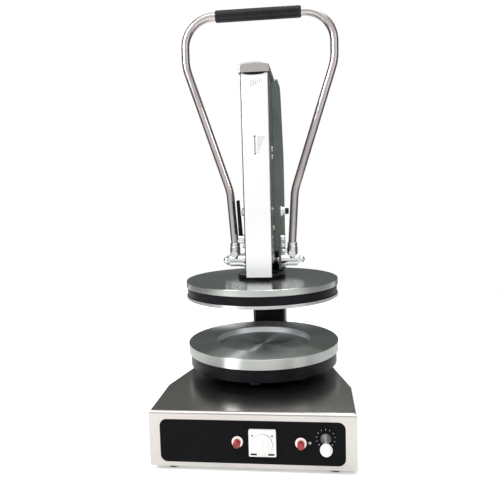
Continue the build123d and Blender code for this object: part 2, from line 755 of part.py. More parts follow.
def terminal_block():
    """Mains terminal block on the bottom cover near the gland."""
    rear = REAR_Y - BLOCK_BACK
    block = box(GLAND_X - BLOCK_W / 2, GLAND_X + BLOCK_W / 2, rear - BLOCK_L, rear,
                FLOOR_Z, FLOOR_Z + BLOCK_H)
    for index in range(BLOCK_POLES):
        x = GLAND_X + (index - (BLOCK_POLES - 1) / 2) * BLOCK_PITCH
        for y in (rear - BLOCK_EDGE, rear - BLOCK_L + BLOCK_EDGE):
            block -= disc(x, y, FLOOR_Z + BLOCK_H / 2, BLOCK_HOLE_D, BLOCK_H)
    return block


def contactor():
    """Switching relay for the heaters on the bottom cover."""
    x0 = RELAY_X
    x1 = RELAY_X + RELAY_W
    y0 = PRESS_Y + RELAY_BACK
    y1 = y0 + RELAY_L
    top = FLOOR_Z + RELAY_H
    body = fillet(box(x0, x1, y0, y1, FLOOR_Z, top).edges().filter_by(Axis.Z), RELAY_EDGE / 3)
    return body + box(x0 + RELAY_EDGE, x1 - RELAY_EDGE, y0 + RELAY_EDGE, y1 - RELAY_EDGE,
                      top, top + RELAY_STEP_H)


def cable_gland():
    """Bush where the mains cord enters the base at the rear."""
    nose_l = GLAND_OUT - GLAND_FLANGE_T
    nose_y = REAR_Y + GLAND_FLANGE_T
    flange = bar_y(GLAND_X, REAR_Y, nose_y, GLAND_Z, 1.5 * GLAND_D)
    nose = Pos(GLAND_X, nose_y + nose_l / 2, GLAND_Z) * Rot(-90, 0, 0)
    nose = nose * Cone(0.625 * GLAND_D, 0.375 * GLAND_D, nose_l)
    neck = bar_y(GLAND_X, REAR_Y - GLAND_NECK_L, REAR_Y, GLAND_Z, GLAND_D)
    nut = bar_y(GLAND_X, REAR_Y - SHEET - GLAND_NUT_T, REAR_Y - SHEET, GLAND_Z, 1.375 * GLAND_D)
    bore = bar_y(GLAND_X, REAR_Y - 2 * GLAND_NECK_L, REAR_Y + 2 * GLAND_OUT, GLAND_Z, GLAND_BORE)
    return flange + nose + neck + nut - bore


def support_channel():
    """Steel channel under the top sheet that ties the posts to the column."""
    z1 = BASE_TOP_Z - SHEET
    z0 = z1 - SUPPORT_T
    half = PEDESTAL_R * math.cos(math.radians(45)) + 0.65 * PEDESTAL_POST_D
    y0 = PRESS_Y - SUPPORT_FRONT
    y1 = PRESS_Y + COLUMN_FRONT - REAR_COVER_T - COLUMN_SLOT_GAP
    rib_y1 = PRESS_Y + COLUMN_REAR - 3 * REAR_COVER_T
    plate = box(-half, half, y0, y1, z0, z1)
    for side in SIDES:
        x0 = min(side * (FRAME_INNER - FRAME_T), side * FRAME_INNER)
        plate += box(x0, x0 + FRAME_T, y0, rib_y1, z0 - SUPPORT_RIB_H, z0)
        plate += box(x0, x0 + FRAME_T, y1, rib_y1, z0, z1)
    for x, y in pedestal_places():
        plate -= disc(x, y, z0 - SUPPORT_T, PEDESTAL_BOLT_D + FIT_D, 3 * SUPPORT_T)
    for y, z in column_bolt_places():
        plate -= bar_x(-FRAME_OUTER, FRAME_OUTER, y, z, FRAME_BOLT_D + FIT_D)
    return plate


def column_bolt_places():
    """Bolts that hold the frame plates to the channel in the base."""
    z = BASE_TOP_Z - SHEET - SUPPORT_T - SUPPORT_RIB_H / 2
    middle = PRESS_Y + (COLUMN_FRONT + COLUMN_REAR) / 2
    return [(middle - FRAME_BOLT_SPREAD, z), (middle + FRAME_BOLT_SPREAD, z)]


def spacer_bolt_places():
    """Bolts through the frame plates and the head's side walls, near the shaft."""
    y = PRESS_Y + (FRAME_FRONT + HEAD_REAR) / 2 + SPACER_BOLT_BACK
    return [(y, PIVOT_Z + rise) for rise in SPACER_BOLT_RISE]


def stud_places():
    """Socket studs higher up that end flush with the frame plates."""
    y = PRESS_Y + (FRAME_FRONT + HEAD_REAR) / 2 + SPACER_BOLT_BACK
    return [(y, FRAME_SHOULDER_Z), (y, HEAD_TOP_Z - STUD_DROP)]


def frame_face():
    """Outline of a frame plate in Y and Z: foot, column and the arm of the head."""
    foot_z = BASE_TOP_Z - SHEET - SUPPORT_T - SUPPORT_RIB_H
    front = PRESS_Y + FRAME_FRONT
    throat = (PRESS_Y + COLUMN_FRONT, FRAME_LOW_Z)
    shoulder = (PRESS_Y + COLUMN_REAR, FRAME_SHOULDER_Z)
    crown = (PRESS_Y + FRAME_TOP_BACK, FRAME_TOP_Z)
    outline = [(throat[0], foot_z), (shoulder[0], foot_z), shoulder, crown]
    outline += [(front, FRAME_TOP_Z), (front, FRAME_LOW_Z), throat]
    face = make_face(Polyline(*outline, close=True))
    for corner, radius in ((throat, THROAT_R), (shoulder, FRAME_TOP_R), (crown, FRAME_TOP_R)):
        nearest = face.vertices().sort_by_distance(Vector(corner[0], corner[1], 0))[0]
        face = fillet(nearest, radius)
    return face


def frame_plate(side):
    """One C-shaped plate: a foot in the base, the column and the arm of the head."""
    x0 = min(side * FRAME_INNER, side * FRAME_OUTER)
    plate = along_x(frame_face(), x0, x0 + FRAME_T)
    low = x0 - FRAME_T
    high = x0 + 2 * FRAME_T
    plate -= bar_x(low, high, PIVOT_Y, PIVOT_Z, BEARING_OD)
    for y, z in column_bolt_places() + spacer_bolt_places() + stud_places():
        plate -= bar_x(low, high, y, z, FRAME_BOLT_D + FIT_D)
    plate -= bar_x(low, high, PRESS_Y + THROUGH_BACK, THROUGH_Z, FRAME_BOLT_D + FIT_D)
    if side < 0:
        plate -= bar_x(low, high, PRESS_Y + LOCK_BACK, LOCK_Z, LOCK_D + FIT_D)
    else:
        plate -= bar_x(low, high, STOP_PIN_Y, STOP_PIN_Z, STOP_PIN_D)
    return plate


def column_cover():
    """Black sheet in front of the column that turns forward under the arm."""
    y1 = PRESS_Y + COLUMN_FRONT + COLUMN_COVER_SET
    z1 = FRAME_LOW_Z + 2 * COLUMN_COVER_T
    front = PIVOT_Y + TIP_R + COLUMN_COVER_GAP
    upright = box(-FRAME_INNER, FRAME_INNER, y1 - COLUMN_COVER_T, y1, BASE_TOP_Z, z1)
    return upright + box(-FRAME_INNER, FRAME_INNER, front, y1, z1 - COLUMN_COVER_T, z1)


def rear_cover():
    """Sheet that closes the back of the column and the head between the frame plates."""
    outer = frame_face()
    inner = offset(outer, -REAR_COVER_T)
    cover = along_x(outer - inner, -FRAME_INNER, FRAME_INNER)
    front = PRESS_Y - HEAD_FRONT
    back = PRESS_Y + COLUMN_REAR
    cover -= box(-FRAME_GAP, FRAME_GAP, front, PRESS_Y + CAP_REAR + CLEAR, 0, 2 * FRAME_TOP_Z)
    cover -= box(-FRAME_GAP, FRAME_GAP, front, back - 2 * REAR_COVER_T, 0, FRAME_SHOULDER_Z - FRAME_TOP_R)
    return cover - box(-FRAME_GAP, FRAME_GAP, front, back + REAR_COVER_T, 0, BASE_TOP_Z)


def head_housing():
    """Upright channel, open to the rear, that holds the guides and the shaft."""
    half = HEAD_WIDTH / 2
    out = HEAD_WIDTH
    front = PRESS_Y - HEAD_FRONT + PANEL_T
    rear = PRESS_Y + HEAD_REAR
    block = box(-half, half, front, rear, HEAD_BOTTOM_Z, HEAD_TOP_Z)
    block = fillet(block.edges().filter_by(Axis.Z).group_by(Axis.Y)[0], HEAD_CORNER_R)
    channel = block - box(-HEAD_INNER, HEAD_INNER, front + HEAD_WALL, 2 * rear, 0, 2 * HEAD_TOP_Z)
    channel -= box(-out, out, PIVOT_Y - SHAFT_WINDOW, 2 * rear, 0, PIVOT_Z + SHAFT_WINDOW)
    for y, z in spacer_bolt_places() + stud_places():
        channel -= bar_x(-out, out, y, z, FRAME_BOLT_D + FIT_D)
    for z in guide_screw_heights():
        channel -= bar_x(-out, out, PRESS_Y, z, GUIDE_SCREW_D + FIT_D)
    channel -= bar_x(-out, out, PRESS_Y + THROUGH_BACK, THROUGH_Z, FRAME_BOLT_D + FIT_D)
    return channel - bar_x(-out, 0, PRESS_Y + LOCK_BACK, LOCK_Z, LOCK_D + FIT_D)


def guide_screw_heights():
    """Heights of the screws that hold the two guide blocks."""
    top = UPPER_GUIDE_Z + GUIDE_H - GUIDE_SCREW_EDGE
    return [LOWER_GUIDE_Z + GUIDE_H - GUIDE_SCREW_DROP, UPPER_GUIDE_Z + GUIDE_SCREW_EDGE, top]


def front_panel():
    """Bright front sheet of the head, with its long edges eased."""
    half = HEAD_WIDTH / 2 - PANEL_MARGIN
    front = PRESS_Y - HEAD_FRONT
    panel = box(-half, half, front, front + PANEL_T, PANEL_BOTTOM_Z, HEAD_TOP_Z - PANEL_T / 2)
    return fillet(panel.edges().filter_by(Axis.Z).group_by(Axis.Y)[0], PANEL_EDGE_R)


def top_cap():
    """Arched cap that covers the head and stands out in front of it."""
    half = HEAD_WIDTH / 2 + CAP_SIDE
    front = PRESS_Y - HEAD_FRONT - CAP_OVERHANG
    rear = PRESS_Y + CAP_REAR
    low = HEAD_TOP_Z
    shoulder = low + CAP_RISE - CAP_CROWN
    arch = ThreePointArc((-half, shoulder), (0, low + CAP_RISE), (half, shoulder))
    sides = Polyline((half, shoulder), (half, low), (-half, low), (-half, shoulder))
    plane = Plane(origin=(0, rear, 0), x_dir=(1, 0, 0), z_dir=(0, -1, 0))
    cap = extrude(plane * make_face(arch + sides), rear - front)
    cap = fillet(cap.edges().filter_by(Axis.Y).sort_by(Axis.Z)[-2:], CAP_CORNER_R)
    nose = cap.faces().sort_by(Axis.Y)[0].edges().sort_by(Axis.Z)[1:]
    cap = fillet(nose, CAP_NOSE_R)
    inner = half - CAP_WALL
    return cap - box(-inner, inner, front + CAP_WALL, rear - CAP_WALL, low - CAP_WALL, low + CAP_RISE / 2)


def housing_spacers():
    """Bars between the head's side walls and the frame plates."""
    bars = []
    z0 = PIVOT_Z + SHAFT_WINDOW
    z1 = HEAD_TOP_Z
    for side in SIDES:
        x0 = min(side * HEAD_WIDTH / 2, side * FRAME_INNER)
        x1 = max(side * HEAD_WIDTH / 2, side * FRAME_INNER)
        bar = box(x0, x1, PRESS_Y + FRAME_FRONT, PRESS_Y + HEAD_REAR, z0, z1)
        through = [(PRESS_Y + THROUGH_BACK, THROUGH_Z)]
        for y, z in spacer_bolt_places() + stud_places() + through:
            bar -= bar_x(x0 - FRAME_T, x1 + FRAME_T, y, z, FRAME_BOLT_D + FIT_D)
        if side < 0:
            bar -= bar_x(x0 - FRAME_T, x1 + FRAME_T, PRESS_Y + LOCK_BACK, LOCK_Z, LOCK_D + FIT_D)
        bars.append(bar)
    return group(bars)


def guide_block(z, screw_heights):
    """A block across the head with a bush that guides the rack."""
    block = box(-HEAD_INNER, HEAD_INNER, PRESS_Y - GUIDE_HALF_Y, PRESS_Y + GUIDE_HALF_Y, z, z + GUIDE_H)
    block -= disc(0, PRESS_Y, z - GUIDE_H, RACK_D + 2 * BUSH_WALL, 3 * GUIDE_H)
    inner = HEAD_INNER - GUIDE_SCREW_GRIP
    for height in screw_heights:
        for side in SIDES:
            block -= bar_x(side * inner, side * HEAD_WIDTH, PRESS_Y, height, GUIDE_SCREW_D)
    return block


def guide_blocks():
    """The lower and the upper guide block."""
    heights = guide_screw_heights()
    return group([guide_block(LOWER_GUIDE_Z, heights[:1]), guide_block(UPPER_GUIDE_Z, heights[1:])])


def guide_bushes():
    """Bronze bushes pressed into the guide blocks."""
    bushes = []
    for z in (LOWER_GUIDE_Z, UPPER_GUIDE_Z):
        bushes.append(ring(0, PRESS_Y, z, RACK_D + 2 * BUSH_WALL, RACK_D + FIT_D, GUIDE_H))
    return group(bushes)


def guide_screws():
    """Screws through the head's side walls into the guide blocks."""
    screws = []
    inner = HEAD_INNER - GUIDE_SCREW_GRIP
    wall = HEAD_WIDTH / 2
    for side in SIDES:
        for z in guide_screw_heights():
            shank = bar_x(side * inner, side * wall, PRESS_Y, z, GUIDE_SCREW_D)
            head_x = side * (wall + GUIDE_SCREW_HEAD_H)
            head = bar_x(side * wall, head_x, PRESS_Y, z, GUIDE_SCREW_HEAD_D)
            screws.append(shank + head)
    return group(screws)


def frame_bolts():
    """Hexagon bolts that tie the frame plates, the spacers and the base together."""
    bolts = []
    rib = FRAME_INNER - FRAME_T
    washer_x = FRAME_OUTER + SPACER_WASHER_T
    for side in SIDES:
        outer = side * FRAME_OUTER
        for y, z in spacer_bolt_places():
            shank = bar_x(side * HEAD_INNER, outer, y, z, FRAME_BOLT_D)
            head = hex_x(side * washer_x, y, z, SPACER_BOLT_HEAD, side * SPACER_BOLT_HEAD_H)
            bolts.append(shank + head + bar_x(outer, side * washer_x, y, z, SPACER_WASHER_D))
        for y, z in stud_places():
            stud = bar_x(side * HEAD_INNER, outer, y, z, FRAME_BOLT_D)
            floor_x = outer - side * STUD_SOCKET_DEPTH
            bolts.append(stud - hex_x(floor_x, y, z, STUD_SOCKET, side * 2 * STUD_SOCKET_DEPTH))
        for y, z in column_bolt_places():
            shank = bar_x(side * rib, outer, y, z, FRAME_BOLT_D)
            head = hex_x(outer, y, z, FRAME_BOLT_HEAD, side * FRAME_BOLT_HEAD_H)
            bolts.append(shank + head + hex_x(side * rib, y, z, FRAME_BOLT_HEAD, -side * FRAME_NUT_H))
    return group(bolts)


def shaft_bearings():
    """Flanged bronze bearings of the cross shaft in the frame plates."""
    bearings = []
    for side in SIDES:
        inner = side * (FRAME_INNER - BEARING_INNER_REACH)
        outer = side * FRAME_OUTER
        flange_x = side * (FRAME_OUTER + BEARING_FLANGE_T)
        body = bar_x(inner, outer, PIVOT_Y, PIVOT_Z, BEARING_OD)
        flange = bar_x(outer, flange_x, PIVOT_Y, PIVOT_Z, BEARING_FLANGE_D)
        bore = bar_x(0, 2 * flange_x, PIVOT_Y, PIVOT_Z, SHAFT_D + FIT_D)
        bearings.append(body + flange - bore)
    return group(bearings)


def through_bolt():
    """Long bolt across the head above the gear, with washers and a nut."""
    y = PRESS_Y + THROUGH_BACK
    z = THROUGH_Z
    shank = bar_x(-FRAME_OUTER - THROUGH_END_LEFT, FRAME_OUTER + THROUGH_END_RIGHT, y, z, FRAME_BOLT_D)
    head = hex_x(-FRAME_OUTER, y, z, THROUGH_HEAD, -THROUGH_HEAD_H)
    washer_x = FRAME_OUTER + THROUGH_WASHER_T
    washer = bar_x(FRAME_OUTER, washer_x, y, z, THROUGH_WASHER_D)
    return shank + head + washer + hex_x(washer_x, y, z, THROUGH_HEAD, THROUGH_NUT_H)


def bolt_cap():
    """Black cap on the free end of the long bolt."""
    y = PRESS_Y + THROUGH_BACK
    start = FRAME_OUTER + THROUGH_WASHER_T + THROUGH_NUT_H
    cap = bar_x(start, start + BOLT_CAP_L, y, THROUGH_Z, BOLT_CAP_D)
    cap = fillet(cap.edges().group_by(Axis.X)[-1], THROUGH_WASHER_T)
    return cap - bar_x(start, start + BOLT_CAP_GRIP, y, THROUGH_Z, FRAME_BOLT_D)


def stop_pin():
    """Pin beside the shaft that the handle's stop arm meets when it is upright."""
    return bar_x(FRAME_INNER, KNUCKLE_IN - CLEAR, STOP_PIN_Y, STOP_PIN_Z, STOP_PIN_D)


def gas_spring_body():
    """Cylinder of the gas spring that lifts the upper platen, on its bracket."""
    bracket = box(-HEAD_INNER, HEAD_INNER, PRESS_Y - HEAD_FRONT + PANEL_T + HEAD_WALL,
                  PRESS_Y - GUIDE_HALF_Y, GAS_BODY_Z - BRACKET_T, GAS_BODY_Z)
    body = disc(0, GAS_Y, GAS_BODY_Z, GAS_BODY_D, GAS_BODY_H)
    bore = disc(0, GAS_Y, GAS_BODY_Z + GAS_END_T, GAS_ROD_D + FIT_D, GAS_BODY_H)
    return bracket + body - bore


def gas_spring_rod():
    """Rod of the gas spring, screwed into the crosshead."""
    z0 = GAS_BODY_Z + GAS_BODY_H - GAS_ROD_IN
    z1 = RACK_TOP_Z - CROSSHEAD_T
    rod = disc(0, GAS_Y, z0, GAS_ROD_D, z1 - z0)
    return rod + hex_z(0, GAS_Y, z1 - GAS_END_T, GAS_NUT, GAS_END_T)


def crosshead():
    """Plate on top of the rack that the gas spring pushes up."""
    z0 = RACK_TOP_Z - CROSSHEAD_T
    half = HEAD_INNER - CROSSHEAD_EDGE
    plate = box(-half, half, GAS_Y - CROSSHEAD_FRONT, PRESS_Y + CROSSHEAD_REAR, z0, RACK_TOP_Z)
    plate = fillet(plate.edges().filter_by(Axis.Z), CROSSHEAD_R)
    return plate + hex_z(0, PRESS_Y, RACK_TOP_Z, CROSSHEAD_NUT, CROSSHEAD_NUT_H)


def stop_collar():
    """Collar on the rack that lands on the depth stop."""
    return ring(0, PRESS_Y, COLLAR_Z, COLLAR_D, RACK_D, COLLAR_H)


def depth_stop_arm():
    """Stop arm clamped to the head's left wall, with a toe over the lower guide."""
    x0 = -HEAD_INNER
    x1 = x0 + STOP_ARM_T
    y0 = PRESS_Y + GUIDE_HALF_Y + STOP_ARM_BACK
    y1 = PRESS_Y + LOCK_BACK + STOP_ARM_EDGE
    top = COLLAR_Z - STROKE - CLEAR
    arm = box(x0, x1, y0, y1, LOCK_Z - STOP_ARM_EDGE, top)
    toe = box(x0, x1, PRESS_Y - STOP_ARM_T, y0, top - STOP_ARM_T, top)
    return arm + toe - bar_x(-HEAD_WIDTH, 0, PRESS_Y + LOCK_BACK, LOCK_Z, LOCK_D + FIT_D)


def lock_stud():
    """Stud of the clamp lever through the left wall, with its head inside."""
    y = PRESS_Y + LOCK_BACK
    inner = -HEAD_INNER + STOP_ARM_T
    shank = bar_x(inner, -FRAME_OUTER - LEVER_HUB_L + 1.0, y, LOCK_Z, LOCK_D)
    head = bar_x(inner, inner + LOCK_HEAD_T, y, LOCK_Z, LOCK_HEAD_D)
    washer = bar_x(-FRAME_OUTER - LOCK_WASHER_T, -FRAME_OUTER, y, LOCK_Z, LOCK_WASHER_D)
    return shank + head + washer


def lever_hub():
    """Chrome hub of the clamp lever on its stud."""
    y = PRESS_Y + LOCK_BACK
    x0 = -FRAME_OUTER - LEVER_HUB_L
    hub = bar_x(x0, -FRAME_OUTER - LOCK_WASHER_T - CLEAR, y, LOCK_Z, LEVER_HUB_D)
    hub = chamfer(hub.edges().group_by(Axis.X)[0], LOCK_WASHER_T)
    return hub - bar_x(x0 + 1.0, -FRAME_OUTER, y, LOCK_Z, LOCK_D + FIT_D)


def lever_arm():
    """Black arm of the clamp lever, flat with rounded ends, leaning out a little."""
    y = PRESS_Y + LOCK_BACK
    low = Pos(-FRAME_OUTER - LEVER_OUT, y, LOCK_Z + LEVER_HUB_D / 2)
    high = Pos(-FRAME_OUTER - LEVER_OUT - LEVER_LEAN, y, LOCK_Z + LEVER_HUB_D / 2 + LEVER_BAR_L)
    bar = loft([low * RectangleRounded(*LEVER_FOOT), high * RectangleRounded(*LEVER_END)])
    return bar + high * extrude(RectangleRounded(*LEVER_END), LEVER_TIP_L)


def lower_platen():
    """Thick turned disc with the round recess that sets the dough's size."""
    platen = disc(0, PRESS_Y, LOWER_BOTTOM_Z, PLATEN_D, LOWER_THICK)
    platen = chamfer(platen.edges().group_by(Axis.Z)[-1], PLATEN_CHAMFER)
    platen -= disc(0, PRESS_Y, LOWER_TOP_Z - RECESS_DEPTH, RECESS_D, LOWER_THICK)
    depth = PEDESTAL_BOLT_GRIP + 2 * PLATEN_CHAMFER
    for x, y in pedestal_places():
        platen -= disc(x, y, LOWER_BOTTOM_Z - depth, PEDESTAL_BOLT_D, 2 * depth)
    return platen


def lower_shroud():
    """Dark band round the lower heater, closed by a flat floor."""
    shroud = ring(0, PRESS_Y, LOWER_SHROUD_Z, SHROUD_D, SHROUD_D - 2 * SHROUD_WALL, LOWER_SHROUD_H)
    shroud += disc(0, PRESS_Y, LOWER_SHROUD_Z, SHROUD_D, SHROUD_WALL)
    for x, y in pedestal_places():
        shroud -= disc(x, y, LOWER_SHROUD_Z - SHROUD_WALL, PEDESTAL_POST_D + 2 * CLEAR, 3 * SHROUD_WALL)
    return shroud


def heater_ring(z):
    """Round heating element bent into a ring."""
    return Pos(0, PRESS_Y, z + HEATER_ROD / 2) * Torus(HEATER_D / 2 - HEATER_ROD, HEATER_ROD / 2)


def lower_heater():
    """Heating ring under the lower platen with the plate that holds it up."""
    z = LOWER_BOTTOM_Z - HEATER_ROD
    clamp = ring(0, PRESS_Y, z - HEATER_CLAMP_T, HEATER_D + HEATER_CLAMP_OUT,
                 HEATER_D - HEATER_CLAMP_IN, HEATER_CLAMP_T)
    for x, y in pedestal_places():
        clamp -= disc(x, y, z - 2 * HEATER_CLAMP_T, PEDESTAL_POST_D + 2 * CLEAR, 3 * HEATER_CLAMP_T)
    return group([heater_ring(z), clamp])


def platen_posts():
    """Posts that hold the lower platen above the base and reach up to its underside."""
    posts = []
    height = LOWER_BOTTOM_Z - BASE_TOP_Z
    for x, y in pedestal_places():
        posts.append(ring(x, y, BASE_TOP_Z, PEDESTAL_POST_D, PEDESTAL_BOLT_D + FIT_D, height))
    return group(posts)


def platen_bolts():
    """Long bolts from below through the channel and the posts into the lower platen."""
    bolts = []
    z0 = BASE_TOP_Z - SHEET - SUPPORT_T
    head_z = z0 - PEDESTAL_BOLT_HEAD_H
    for x, y in pedestal_places():
        shank = disc(x, y, z0, PEDESTAL_BOLT_D, LOWER_BOTTOM_Z - z0 + PEDESTAL_BOLT_GRIP)
        bolts.append(shank + hex_z(x, y, head_z, PEDESTAL_BOLT_HEAD, PEDESTAL_BOLT_HEAD_H))
    return group(bolts)


def press_plate():
    """Flat steel disc that meets the dough, with a low boss on top."""
    plate = disc(0, PRESS_Y, UPPER_Z, PLATEN_D, PRESS_PLATE_THICK)
    plate = chamfer(plate.edges().group_by(Axis.Z)[0], 0.8 * PLATEN_CHAMFER)
    return plate + disc(0, PRESS_Y, UPPER_SHROUD_Z, PRESS_PLATE_BOSS_D, PRESS_PLATE_BOSS_H)


def upper_shroud():
    """Dark band round the upper heater."""
    return ring(0, PRESS_Y, UPPER_SHROUD_Z, UPPER_SHROUD_D, UPPER_SHROUD_D - 2 * SHROUD_WALL,
                UPPER_SHROUD_H)


def upper_cover():
    """Polished dish on top of the upper platen, hollow below its top sheet."""
    depth = UPPER_RIM_H - DISH_SHEET
    dish = disc(0, PRESS_Y, UPPER_COVER_Z, PLATEN_D, UPPER_RIM_H)
    dish = fillet(dish.edges().group_by(Axis.Z)[-1], DISH_EDGE_R)
    dish -= disc(0, PRESS_Y, UPPER_COVER_Z, PLATEN_D - 2 * DISH_SHEET, depth)
    dish += disc(0, PRESS_Y, UPPER_COVER_Z, HUB_D, depth)
    dish -= disc(0, PRESS_Y, UPPER_COVER_Z - UPPER_RIM_H, RACK_D + 2 * CLEAR, 3 * UPPER_RIM_H)
    for x, y in hub_bolt_places():
        dish -= disc(x, y, UPPER_COVER_Z - UPPER_RIM_H, HUB_BOLT_D + FIT_D, 3 * UPPER_RIM_H)
    return dish


def upper_heater():
    """Heating ring on the press plate."""
    return heater_ring(RACK_BOTTOM_Z)


def hub_bolt_places():
    """Four bolts round the hub."""
    places = []
    for turn in range(4):
        angle = math.radians(45 + 90 * turn)
        places.append((HUB_BOLT_R * math.cos(angle), PRESS_Y + HUB_BOLT_R * math.sin(angle)))
    return places


def hub():
    """Black hub that clamps the upper platen to the rack."""
    body = disc(0, PRESS_Y, UPPER_TOP_Z, HUB_D, HUB_H)
    body = chamfer(body.edges().group_by(Axis.Z)[-1], HUB_CHAMFER)
    body -= disc(0, PRESS_Y, UPPER_TOP_Z - HUB_H, RACK_D, 3 * HUB_H)
    for x, y in hub_bolt_places():
        body -= disc(x, y, UPPER_TOP_Z - HUB_H, HUB_BOLT_D + FIT_D, 3 * HUB_H)
        body -= disc(x, y, HUB_TOP_Z - HUB_BOLT_HEAD_H, HUB_BOLT_SEAT_D, HUB_H)
    return body


def hub_core():
    """Spacer tube between the press plate and the dish, round the rack's foot."""
    height = UPPER_COVER_Z - RACK_BOTTOM_Z
    core = ring(0, PRESS_Y, RACK_BOTTOM_Z, HUB_D, RACK_D, height)
    for x, y in hub_bolt_places():
        core -= disc(x, y, RACK_BOTTOM_Z, HUB_BOLT_D, 2 * height)
    return core


def hub_bolts():
    """Socket bolts that hold the hub, the dish and the core together."""
    bolts = []
    z0 = RACK_BOTTOM_Z + HEATER_CLAMP_T
    head_z = HUB_TOP_Z - HUB_BOLT_HEAD_H
    for x, y in hub_bolt_places():
        shank = disc(x, y, z0, HUB_BOLT_D, head_z - z0)
        head = disc(x, y, head_z, HUB_BOLT_HEAD_D, HUB_BOLT_HEAD_H)
        socket = hex_z(x, y, HUB_TOP_Z - HUB_BOLT_SOCKET_DEPTH, HUB_BOLT_SOCKET, HUB_BOLT_HEAD_H)
        bolts.append(shank + head - socket)
    return group(bolts)


def rack_shaft():
    """Round rack: a bar with a flat on its rear side and teeth cut into the flat."""
    bar = disc(0, PRESS_Y, RACK_BOTTOM_Z, RACK_D, RACK_TOP_Z - CROSSHEAD_T - RACK_BOTTOM_Z)
    tip_y = RACK_PITCH_Y + GEAR_MODULE
    root_y = RACK_PITCH_Y - 1.25 * GEAR_MODULE
    mouth_y = tip_y + GEAR_MODULE
    bar -= box(-RACK_D, RACK_D, tip_y, PRESS_Y + RACK_D, HUB_TOP_Z, FLAT_TOP_Z)
    pitch = math.pi * GEAR_MODULE
    lean = math.tan(PRESSURE_ANGLE)
    half_gap = pitch / 4 + BACKLASH / 2
    half_mouth = half_gap + 2 * GEAR_MODULE * lean
    half_root = half_gap - 1.25 * GEAR_MODULE * lean
    for index in range(-RACK_TEETH_LOW, RACK_TEETH_HIGH + 1):
        z = PIVOT_Z + index * pitch
        outline = [(mouth_y, z - half_mouth), (mouth_y, z + half_mouth)]
        outline += [(root_y, z + half_root), (root_y, z - half_root)]
        bar -= side_profile(outline, -RACK_D, RACK_D)
    return bar


def involute(angle):
    """Point of the involute of the base circle at a roll angle."""
    base = PITCH_R * math.cos(PRESSURE_ANGLE)
    x = base * (math.cos(angle) + angle * math.sin(angle))
    y = base * (math.sin(angle) - angle * math.cos(angle))
    return x, y


def tooth_outline():
    """One gear tooth about the X axis of its own plane, from the root to the tip."""
    base = PITCH_R * math.cos(PRESSURE_ANGLE)
    half_tooth = math.pi / (2 * GEAR_TEETH) - BACKLASH / (4 * PITCH_R)
    shift = half_tooth + math.tan(PRESSURE_ANGLE) - PRESSURE_ANGLE
    tip_roll = math.sqrt((TIP_R / base) ** 2 - 1)
    steps = 5
    points = []
    for index in range(steps + 1):
        x, y = involute(tip_roll * index / steps)
        radius = math.hypot(x, y)
        angle = math.atan2(y, x) - shift
        points.append((radius * math.cos(angle), radius * math.sin(angle)))
    start = ROOT_R - 0.4 * GEAR_MODULE
    foot_angle = math.atan2(points[0][1], points[0][0])
    foot = (start * math.cos(foot_angle), start * math.sin(foot_angle))
    mirrored = [(x, -y) for x, y in reversed(points)]
    return [foot] + points + mirrored + [(foot[0], -foot[1])]


def sector_gear():
    """Toothed sector on the cross shaft that drives the rack down."""
    pitch_angle = 360.0 / GEAR_TEETH
    start = 180.0 + SECTOR_LEAD
    end = 180.0 - SECTOR_TAIL
    first = -round(SECTOR_LEAD / pitch_angle)
    count = int((SECTOR_LEAD + SECTOR_TAIL) / pitch_angle)
    tooth = make_face(Polyline(*tooth_outline(), close=True))
    face = make_face(Polyline(*sector_outline(ROOT_R, end, start), close=True))
    face += Circle(SECTOR_HUB_D / 2)
    for index in range(first, first + count):
        angle = 180.0 - index * pitch_angle
        if end + pitch_angle / 4 <= angle <= start:
            face += Rot(0, 0, angle) * tooth
    plane = Plane(origin=(-GEAR_WIDTH / 2, PIVOT_Y, PIVOT_Z), x_dir=(0, 1, 0), z_dir=(1, 0, 0))
    half = SECTOR_HUB_W / 2
    gear = extrude(plane * face, GEAR_WIDTH) + bar_x(-half, half, PIVOT_Y, PIVOT_Z, SECTOR_HUB_D)
    return gear - bar_x(-SECTOR_HUB_W, SECTOR_HUB_W, PIVOT_Y, PIVOT_Z, SHAFT_D)


def sector_outline(radius, start, end):
    """A pie slice as points: the centre and an arc in even steps."""
    steps = 24
    points = [(0.0, 0.0)]
    for index in range(steps + 1):
        angle = math.radians(start + (end - start) * index / steps)
        points.append((radius * math.cos(angle), radius * math.sin(angle)))
    return points


def cross_shaft():
    """Shaft through the head that the handle turns, stepped down at both ends."""
    shaft = bar_x(-KNUCKLE_OUT, KNUCKLE_OUT, PIVOT_Y, PIVOT_Z, SHAFT_D)
    ends = bar_x(-SHAFT_HALF, SHAFT_HALF, PIVOT_Y, PIVOT_Z, SHAFT_END_D)
    return shaft + ends


def knuckle(side):
    """Chrome clamp that joins one arm of the handle to the shaft."""
    inner = side * KNUCKLE_IN
    outer = side * KNUCKLE_OUT
    x = side * ARM_FOOT_X
    sleeve = bar_x(inner, outer, PIVOT_Y, PIVOT_Z, KNUCKLE_D)
    socket = disc(x, PIVOT_Y, PIVOT_Z, TUBE_D + 2 * SOCKET_WALL, SOCKET_H)
    boss = bar_y(x, PIVOT_Y - BOSS_OUT, PIVOT_Y, PIVOT_Z + BOSS_RISE, BOSS_D)
    body = sleeve + socket + boss
    body -= bar_x(inner / 2, 2 * outer, PIVOT_Y, PIVOT_Z, SHAFT_D)
    return body - disc(x, PIVOT_Y, TUBE_FOOT_Z, TUBE_D, SOCKET_CUT_H)


